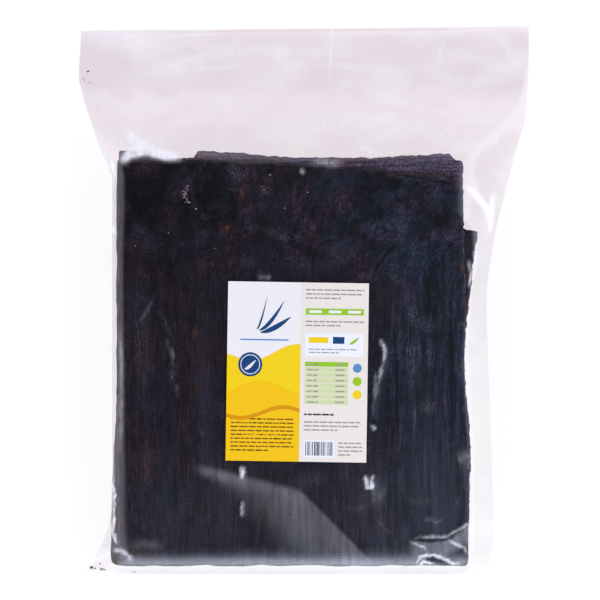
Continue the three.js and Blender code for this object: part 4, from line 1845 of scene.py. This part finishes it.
    def sheets(self, name: str, slabs: Sequence[Slab], first: int, count: int) -> Piece:
        """Make some of the sheets under the front one.

        Args:
            name: The piece's name.
            slabs: The sheets, from the highest down.
            first: How many sheets lie above them.
            count: How many points each outline has.

        Returns:
            The sheets as one piece, seated in the bag's place.
        """
        parts = MeshParts()
        grains, slab_wear_and_shade = [], []
        here = np.arange(count)
        ahead = (here + 1) % count
        for place, slab in enumerate(slabs, first):
            noise = LatticeNoise(self.slab_seed + place)
            at = self.rim(slab, noise, count)
            fit = self.fit(slab, at, count)
            rings = []
            for inset, depth, mark in self.rings:
                x, y = at(fit * (1 - inset / self.half[0]))
                level = slab.high - slab.thick * depth
                rings.append(np.stack([x, y, level + self.slab_relief.at(noise, x, y)], axis=-1))
                # Painted sheen: sheets drawn lighter get grey-lavender bloom in step.
                bloom_and_sheen = np.full(count, self.sheet_painted_sheen * (slab.light - 1))
                grains.append(np.stack([y + self.grain_shift * place, x, bloom_and_sheen], axis=-1))
                hue = self.slab_hue + self.slab_tint.at(noise, x, y + self.slab_tint.up * level)
                light = slab.light * np.clip(1 + self.slab_mottle.at(noise, x, y), *self.mottle_limits)
                slab_wear_and_shade.append(np.stack([np.full(count, mark), light, np.clip(hue, 0.0, 1.0)], axis=-1))
            faces = [list(range(count))[::-1]]
            for ring in range(len(rings) - 1):
                a, b = ring * count, (ring + 1) * count
                faces.extend(np.stack([a + here, a + ahead, b + ahead, b + here], axis=1).tolist())
            faces.append([(len(rings) - 1) * count + step for step in range(count)])
            parts.add(np.concatenate(rings), faces)
        piece = parts.build(name, [self.finish.material()])
        self.mark(piece, np.concatenate(grains), np.concatenate(slab_wear_and_shade))
        return seat(piece, "bag")

    @staticmethod
    def mark(piece: Piece, grain: Array, wear_and_shade: Array) -> None:
        """Store the grain, and the wear with its painted light and shade, that the leaf's finish reads, one
        row a point.
        """
        for name, values in (("grain", grain), ("wear_and_shade", wear_and_shade)):
            store = piece.data.attributes.new(name, "FLOAT_VECTOR", "POINT")
            store.data.foreach_set("vector", values.astype(np.float32).ravel())


@dataclass
class Flecks:
    """Loose bits in the bag: dark crumbs in its corners and salt grains on the front sheet."""

    form: BagForm
    seed: int = 23
    corners: int = 7
    reaches: Range = (0.5, 1)
    narrow: float = 0.7
    uneven: float = 0.05
    thick: float = 0.28
    under_film: float = 0.9
    crumb: SpeckFinish = SpeckFinish("leaf_crumb", (0.05, 0.045, 0.05))
    salt: SpeckFinish = SpeckFinish("salt_grain", (0.62, 0.6, 0.62), 0.4)
    crumbs: tuple[Triple, ...] = (
        *((-192.5, 203, 1.7), (-197, 196.5, 0.9), (-196, 195, 0.7), (-191, 193, 0.8), (-183, 168, 0.8)),
        *((-189, -238.8, 2.2), (-186, -239.6, 1.3), (-179.5, -239.6, 2.4), (-176.5, -240, 1.5)),
        *((-181, -235, 1.3), (-149, -240.5, 1.3), (-151.5, -240.8, 0.9)),
    )
    streak: Curve = Curve((84, -100.6), (88, -103.2), (92, -103.9), (96, -102.6), (100, -100.4))
    streak_count: int = 34
    streak_crowding: float = 1.5
    streak_spread: float = 1.1
    streak_sizes: Range = (0.3, 0.85)
    grains: tuple[Triple, ...] = (
        *((-94, 78.5, 1), (-34.8, 95, 0.7), (-36.5, 97.5, 0.6), (-29.6, 108, 0.9), (3, 93, 1)),
        *((-17, 79, 0.7), (20, 118, 0.9), (24, 119, 0.7), (-118, 57.5, 0.6), (-147, 46, 0.6)),
        *((-22, 62, 0.5), (-78, 44, 0.6)),
    )

    def salt_rows(self) -> list[Triple]:
        """List the salt grains: a streak of small ones, thickest at its lower end, and the single ones."""
        rng = np.random.default_rng(self.seed + 1)
        low, high = self.streak.stations[0][0], self.streak.stations[-1][0]
        up = lerp(low, high, rng.uniform(0.0, 1.0, self.streak_count) ** self.streak_crowding)
        across = self.streak(up) + rng.normal(0.0, self.streak_spread, self.streak_count)
        sizes = rng.uniform(*self.streak_sizes, self.streak_count)
        return [*zip(across, up, sizes), *self.grains]

    def flake(self, x: float, y: float, z: float, size: float, rng: np.random.Generator) -> Array:
        """Shape one flake.

        Args:
            x: Its place across the bag.
            y: Its place up the bag.
            z: Its height.
            size: Its greatest half size.
            rng: Where its ragged edge is drawn from.

        Returns:
            The points of a ragged ring, then of the flake's top and bottom.
        """
        turn = np.linspace(0.0, 2 * np.pi, self.corners, endpoint=False) + rng.uniform(0.0, 1.0)
        reach = size * rng.uniform(*self.reaches, self.corners)
        ring_x, ring_y = x + reach * np.cos(turn), y + self.narrow * reach * np.sin(turn)
        ring_z = z + rng.normal(0.0, self.uneven, self.corners)
        half = self.thick * size
        return np.concatenate([np.stack([ring_x, ring_y, ring_z], -1), [[x, y, z + half], [x, y, z - half]]])

    def scatter(self, name: str, rows: Sequence[Triple], on_leaf: bool) -> Piece:
        """Scatter one kind of fleck.

        Args:
            name: The piece's name.
            rows: The x, y and size of each fleck.
            on_leaf: Whether the flecks lie on the front sheet, or else between the two films.

        Returns:
            The flecks as one piece, seated in the bag's place.
        """
        rng = np.random.default_rng(self.seed)
        parts = MeshParts()
        top, bottom = self.corners, self.corners + 1
        sides = [(step, (step + 1) % self.corners) for step in range(self.corners)]
        faces = [[a, b, top] for a, b in sides] + [[b, a, bottom] for a, b in sides]
        for x, y, size in rows:
            spot_x, spot_y = np.array([x], float), np.array([y], float)
            roof = float(self.form.front(spot_x, spot_y)[0])
            middle = (roof + float(self.form.back(spot_x, spot_y)[0])) / 2
            z = roof - self.under_film if on_leaf else middle
            parts.add(self.flake(x, y, z, size, rng), faces)
        finish = self.salt if on_leaf else self.crumb
        return seat(parts.build(name, [finish.material()], smooth=False), "bag")

    def build(self) -> list[Piece]:
        """Make the crumbs and the salt, and return both pieces."""
        return [
            self.scatter("wakame_crumbs", self.crumbs, False),
            self.scatter("salt_grains", self.salt_rows(), True),
        ]


@dataclass(frozen=True)
class Field:
    """One printed field of the label, between a lower and an upper curve, in the label's own axes."""

    CELL = 12.0
    DISC_EDGE = 0.999
    LEAF_BEND = 1.6
    LEAF_FULLNESS = 0.8
    LEAST_HALF = 0.02

    ink: Ink
    left: float
    right: float
    low: Callable[[Array], Array]
    high: Callable[[Array], Array]
    layer: int = 1
    columns: int = 2
    rows: int = 1

    @classmethod
    def bar(cls, ink: Ink, left: float, right: float, low: float, high: float, layer: int = 2) -> "Field":
        """Return a straight bar, divided finely enough to follow the label."""
        columns, rows = 1 + int((right - left) / cls.CELL), 1 + int((high - low) / cls.CELL)
        return cls(ink, left, right, lambda a: low + 0 * a, lambda a: high + 0 * a, layer, columns, rows)

    @classmethod
    def disc(cls, ink: Ink, across: float, up: float, radius: float, layer: int) -> "Field":
        """Make a round disc.

        Args:
            ink: Its ink.
            across: Its middle across.
            up: Its middle up.
            radius: Its radius.
            layer: How many steps of ink it stands up.

        Returns:
            The field.
        """
        half = lambda a: np.sqrt(radius * radius - (a - across) ** 2)
        edge = cls.DISC_EDGE * radius
        low, high = lambda a: up - half(a), lambda a: up + half(a)
        return cls(ink, across - edge, across + edge, low, high, layer, columns=36, rows=2)

    @classmethod
    def leaf(cls, ink: Ink, start: Point, end: Point, width: float, layer: int) -> "Field":
        """Make a slim leaf, fattest in the middle.

        Args:
            ink: Its ink.
            start: Where it starts.
            end: Where it ends, further right.
            width: Its width.
            layer: How many steps of ink it stands up.

        Returns:
            The field.
        """
        share = lambda a: np.clip((a - start[0]) / (end[0] - start[0]), 0.0, 1.0)
        spine = lambda a: lerp(start[1], end[1], share(a) ** cls.LEAF_BEND)
        fullness = lambda a: np.sin(np.pi * share(a)) ** cls.LEAF_FULLNESS
        half = lambda a: cls.LEAST_HALF + width / 2 * fullness(a)
        low, high = lambda a: spine(a) - half(a), lambda a: spine(a) + half(a)
        return cls(ink, start[0], end[0], low, high, layer, columns=24, rows=2)


@dataclass
class PrintedLabel:
    """The paper label: a pale panel with a field of amber, and a cream panel of bars and rows."""

    form: BagForm
    columns: int = 16
    rows: int = 20
    ink_step: float = 0.035
    split: float = 2.6
    seed: int = 31
    words: Range = (2, 7.5)
    word_gap: float = 0.9
    least_word: float = 1.5
    line_share: float = 0.36
    last_line: float = 0.6
    code_bars: tuple[float, ...] = (0.35, 0.7, 1.05)
    code_gaps: tuple[float, ...] = (0.4, 0.75, 1.1)
    blades: tuple[tuple[Point, Point], ...] = (
        ((-34, 36), (-12, 62)),
        ((-33, 34), (-6, 48)),
        ((-36, 37), (-27, 66)),
    )

    def surface(self, across: Array, up: Array, lift: float) -> Array:
        """Return points over the label's back face, given places in its own axes and a lift."""
        x, y = self.form.label_place(across, up)
        z = self.form.stack_height + self.form.crown(x, y) + self.form.label_gap + lift
        return np.stack([x, y, z], axis=-1)

    def lines(self, ink: Ink, left: float, right: float, top: float, count: int, pitch: float) -> list[Field]:
        """Set a block of thin broken lines.

        Args:
            ink: Ink of the lines.
            left: Left end of the block.
            right: Right end of the block.
            top: Height of the first line.
            count: How many lines.
            pitch: Distance from line to line.

        Returns:
            The lines' short bars.
        """
        rng = np.random.default_rng([self.seed, int(10 * (top + self.form.label_length))])
        fields = []
        for line in range(count):
            at = left
            end = right if line < count - 1 else lerp(left, right, self.last_line)
            while at < end - self.least_word:
                length = min(rng.uniform(*self.words), end - at)
                low = top - pitch * line
                fields.append(Field.bar(ink, at, at + length, low, low + self.line_share * pitch))
                at += length + self.word_gap
        return fields

    def fields(self) -> list[Field]:
        """List the print from the panels up to the finest marks."""
        half_width, half_length = self.form.label_width / 2, self.form.label_length / 2
        left, right, split = -half_width, half_width, self.split
        inner, outer = split + 4, right - 4
        crest = lambda a: 12 + 5 * np.sin((a + 20) / 11) + 0.12 * (a - left)
        swell = lambda a: -14 + 6 * np.sin((a + 52) / 13)
        trough = lambda a: -34 + 5 * np.sin((a + 30) / 12)
        floor = lambda a: -half_length + 0 * a
        fields = [
            Field.bar(Ink.CREAM, split, right, -half_length, half_length, 1),
            Field(Ink.YELLOW, left, split, floor, crest, 1, 24, 8),
            Field(Ink.AMBER, left, split, floor, swell, 2, 24, 6),
            Field(Ink.DEEP_AMBER, left, split, lambda a: trough(a) - 3.5, trough, 3, 24, 1),
            Field.disc(Ink.NAVY, -41, 6, 10.5, 3),
            Field.disc(Ink.PALE, -41, 6, 8.6, 4),
            Field.disc(Ink.NAVY, -41, 6, 7.9, 5),
            Field.leaf(Ink.PALE, (-46, 2), (-36, 10), 3.4, 6),
        ]
        fields += [Field.leaf(Ink.NAVY, start, end, 5, 2) for start, end in self.blades]
        fields += [
            Field.bar(Ink.SKY, -50, -8, 27, 28.2),
            *self.lines(Ink.BROWN, left + 4, split - 5, -42, 9, 3.4),
            *self.lines(Ink.GREY, inner, outer, 71, 3, 3.6),
            Field.bar(Ink.GREEN, inner, outer, 50, 55.5),
            *self.lines(Ink.GREY, inner, outer, 43.5, 2, 3.4),
            Field.bar(Ink.WHITE, inner, outer, 14, 34),
            Field.bar(Ink.YELLOW, split + 7, split + 24, 25.5, 30.5, 3),
            Field.bar(Ink.NAVY, split + 28, split + 38, 25, 31, 3),
            Field.leaf(Ink.GREEN, (split + 42, 25), (split + 51, 31), 3, 3),
            *self.lines(Ink.GREY, split + 7, right - 8, 19.5, 2, 2.8),
            *self.lines(Ink.CHARCOAL, inner, right - 12, -37.5, 1, 4.2),
            *self.lines(Ink.GREY, inner, right - 6, -44, 3, 3.4),
            Field.bar(Ink.WHITE, inner, split + 31, -74, -59),
            *self.lines(Ink.GREY, split + 34, outer, -62, 4, 3.4),
        ]
        for step, ink in enumerate((Ink.SKY, Ink.GREEN, Ink.YELLOW)):
            start = split + 7 + 17 * step
            fields.append(Field.bar(Ink.WHITE, start, start + 11, 51.6, 53.9, 3))
            fields.append(Field.disc(ink, right - 9, 4 - 11.5 * step, 3.9, 2))
        for row in range(8):
            low = 5 - 4.7 * row
            ink = Ink.GREEN if row == 0 else Ink.PALE_GREEN
            fields.append(Field.bar(ink, inner, right - 17, low, low + 4.1))
            fields += self.lines(Ink.GREY, split + 6, split + 22, low + 1.3, 1, 3.2)
            fields.append(Field.bar(Ink.GREY, right - 28, right - 20, low + 1.4, low + 2.6, 3))
        rng = np.random.default_rng(self.seed)
        at = split + 5.5
        while at < split + 29:
            width = rng.choice(self.code_bars)
            fields.append(Field.bar(Ink.CHARCOAL, at, at + width, -72.5, -60.5, 3))
            at += width + rng.choice(self.code_gaps)
        return fields

    def build(self) -> list[Piece]:
        """Make the paper and its print.

        Returns:
            The two pieces, seated in the label's place.
        """
        form = self.form
        across = np.linspace(-0.5, 0.5, self.columns + 1)[:, None] * form.label_width
        up = np.linspace(-0.5, 0.5, self.rows + 1)[None, :] * form.label_length
        across, up = np.broadcast_arrays(across, up)
        paper = MeshParts()
        paper.add(*thin_body(self.surface(across, up, form.label_thick), self.surface(across, up, 0.0)))
        inks = list(Ink)
        materials = {ink: ink.material() for ink in inks}
        print_parts = MeshParts()
        for field in self.fields():
            across = np.linspace(field.left, field.right, field.columns + 1)
            shares = np.linspace(0.0, 1.0, field.rows + 1)[None, :]
            up = lerp(field.low(across)[:, None], field.high(across)[:, None], shares)
            across = np.broadcast_to(across[:, None], up.shape)
            top = self.surface(across, up, form.label_thick + self.ink_step * field.layer)
            bottom = self.surface(across, up, form.label_thick - self.ink_step)
            print_parts.add(*thin_body(top, bottom), inks.index(field.ink))
        return [
            seat(paper.build("label_paper", [materials[Ink.PALE]], smooth=False), "label"),
            seat(print_parts.build("label_print", list(materials.values()), smooth=False), "label"),
        ]


@dataclass(frozen=True)
class Glow:
    """A soft side of the room: brighter towards an axis."""

    axis: Triple
    limits: Point
    strength: float
    colour: Colour = (1, 1, 1)


@dataclass(frozen=True)
class Softbox:
    """A lamp that faces the pack: its name, its place and sides in metres, and its power in watts."""

    name: str
    place: Triple
    sides: Point
    power: float

    def hang(self) -> None:
        """Hang the softbox."""
        data = bpy.data.lights.new(self.name, "AREA")
        data.shape = "RECTANGLE"
        data.size, data.size_y = self.sides
        data.energy = self.power
        light = bpy.data.objects.new(self.name, data)
        light.location = self.place
        light.rotation_mode = "QUATERNION"
        light.rotation_quaternion = light.location.to_track_quat("Z", "Y")
        light.visible_camera = False
        light.visible_glossy = False
        bpy.context.collection.objects.link(light)


@dataclass
class Studio:
    """Floor, lights and the camera that looks straight down on the pack, in metres."""

    camera_height: float = 2.4
    focal_pixels: float = 2690
    frame_pixels: float = 600
    sensor: float = 36
    far_clip: float = 50
    centre: Point = (-0.0036, -0.0009)
    floor_half: float = 6
    floor_drop: float = 0.0004
    floor: FloorFinish = FloorFinish()
    glows: tuple[Glow, ...] = (
        Glow((0, 0, -1), (-0.8, -0.2), 0.72),
        Glow((0, 0, 1), (-1, -0.5), 0.05),
        Glow((-1, 0, 0), (0.4, 1), 0.5, (1, 0.84, 0.98)),
        Glow((1, 0, 0), (0.45, 1), 1.2),
        Glow((0, 1, 0), (0.4, 0.95), 0.6, (0.97, 0.9, 1)),
        Glow((0, -1, 0), (0.4, 0.98), 1.5, (0.8, 0.88, 1)),
        Glow((0.58, -0.72, -0.38), (-0.44, -0.02), 0.5, (0.52, 0.6, 1)),
    )
    softboxes: tuple[Softbox, ...] = (
        Softbox("left_strip", (-1.08, -0.35, 1.42), (0.8, 0.13), 8.2),
        Softbox("right_strip", (1.1, -0.45, 1.4), (0.8, 0.13), 8.2),
    )

    def build(self) -> None:
        """Make the floor, the world, the lights and the camera."""
        half = self.floor_half
        mesh = bpy.data.meshes.new("floor")
        corners = [(-half, -half, 0.0), (half, -half, 0.0), (half, half, 0.0), (-half, half, 0.0)]
        mesh.from_pydata(corners, [], [[0, 1, 2, 3]])
        mesh.materials.append(self.floor.material())
        floor = bpy.data.objects.new("floor", mesh)
        bpy.context.collection.objects.link(floor)
        floor.location.z = -self.floor_drop
        floor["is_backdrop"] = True
        self.sky()
        for softbox in self.softboxes:
            softbox.hang()
        data = bpy.data.cameras.new("camera")
        data.sensor_width = self.sensor
        data.lens = self.sensor * self.focal_pixels / self.frame_pixels
        data.clip_end = self.far_clip
        camera = bpy.data.objects.new("camera", data)
        camera.location = (*self.centre, self.camera_height)
        bpy.context.collection.objects.link(camera)
        scene = bpy.context.scene
        scene.camera = camera
        scene.view_settings.view_transform = "Standard"

    def sky(self) -> None:
        """Make a soft white room: bright round the horizon and dim overhead."""
        world = bpy.data.worlds.new("studio")
        bpy.context.scene.world = world
        world.use_nodes = True
        nodes = NodeTree(world.node_tree)
        toward = nodes.node("TexCoord").outputs["Generated"]
        total = None
        for glow in self.glows:
            inputs = {0: toward, 1: glow.axis}
            facing = nodes.node("VectorMath", inputs, operation="DOT_PRODUCT").outputs["Value"]
            strength = nodes.span(facing, glow.limits, (0.0, glow.strength), "SMOOTHSTEP")
            shade = nodes.node("Background", {"Color": opaque(glow.colour), "Strength": strength}).outputs[0]
            total = nodes.node("AddShader", {0: total, 1: shade}).outputs[0] if total else shade
        nodes.node("OutputWorld", {"Surface": total})


def write_sizes() -> None:
    boxes = {"cad": CAD_BOX, "visual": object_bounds()}
    plain = {name: [list(corner) for corner in box] for name, box in boxes.items()}


def main() -> None:
    """Build the pack's pieces in order and report each one."""
    logging.basicConfig(level=logging.INFO, format="%(message)s")
    form = BagForm()
    Studio().build()
    film = FilmBag(form)
    stack = WakameStack(form)
    pieces = [film.build(), stack.front_sheet(), *stack.pile()]
    pieces += Flecks(form).build()
    pieces += PrintedLabel(form).build()
    for piece in pieces:
        log.info("%s: %d faces", piece.name, len(piece.data.polygons))
    write_sizes()


if __name__ == "__main__":
    main()
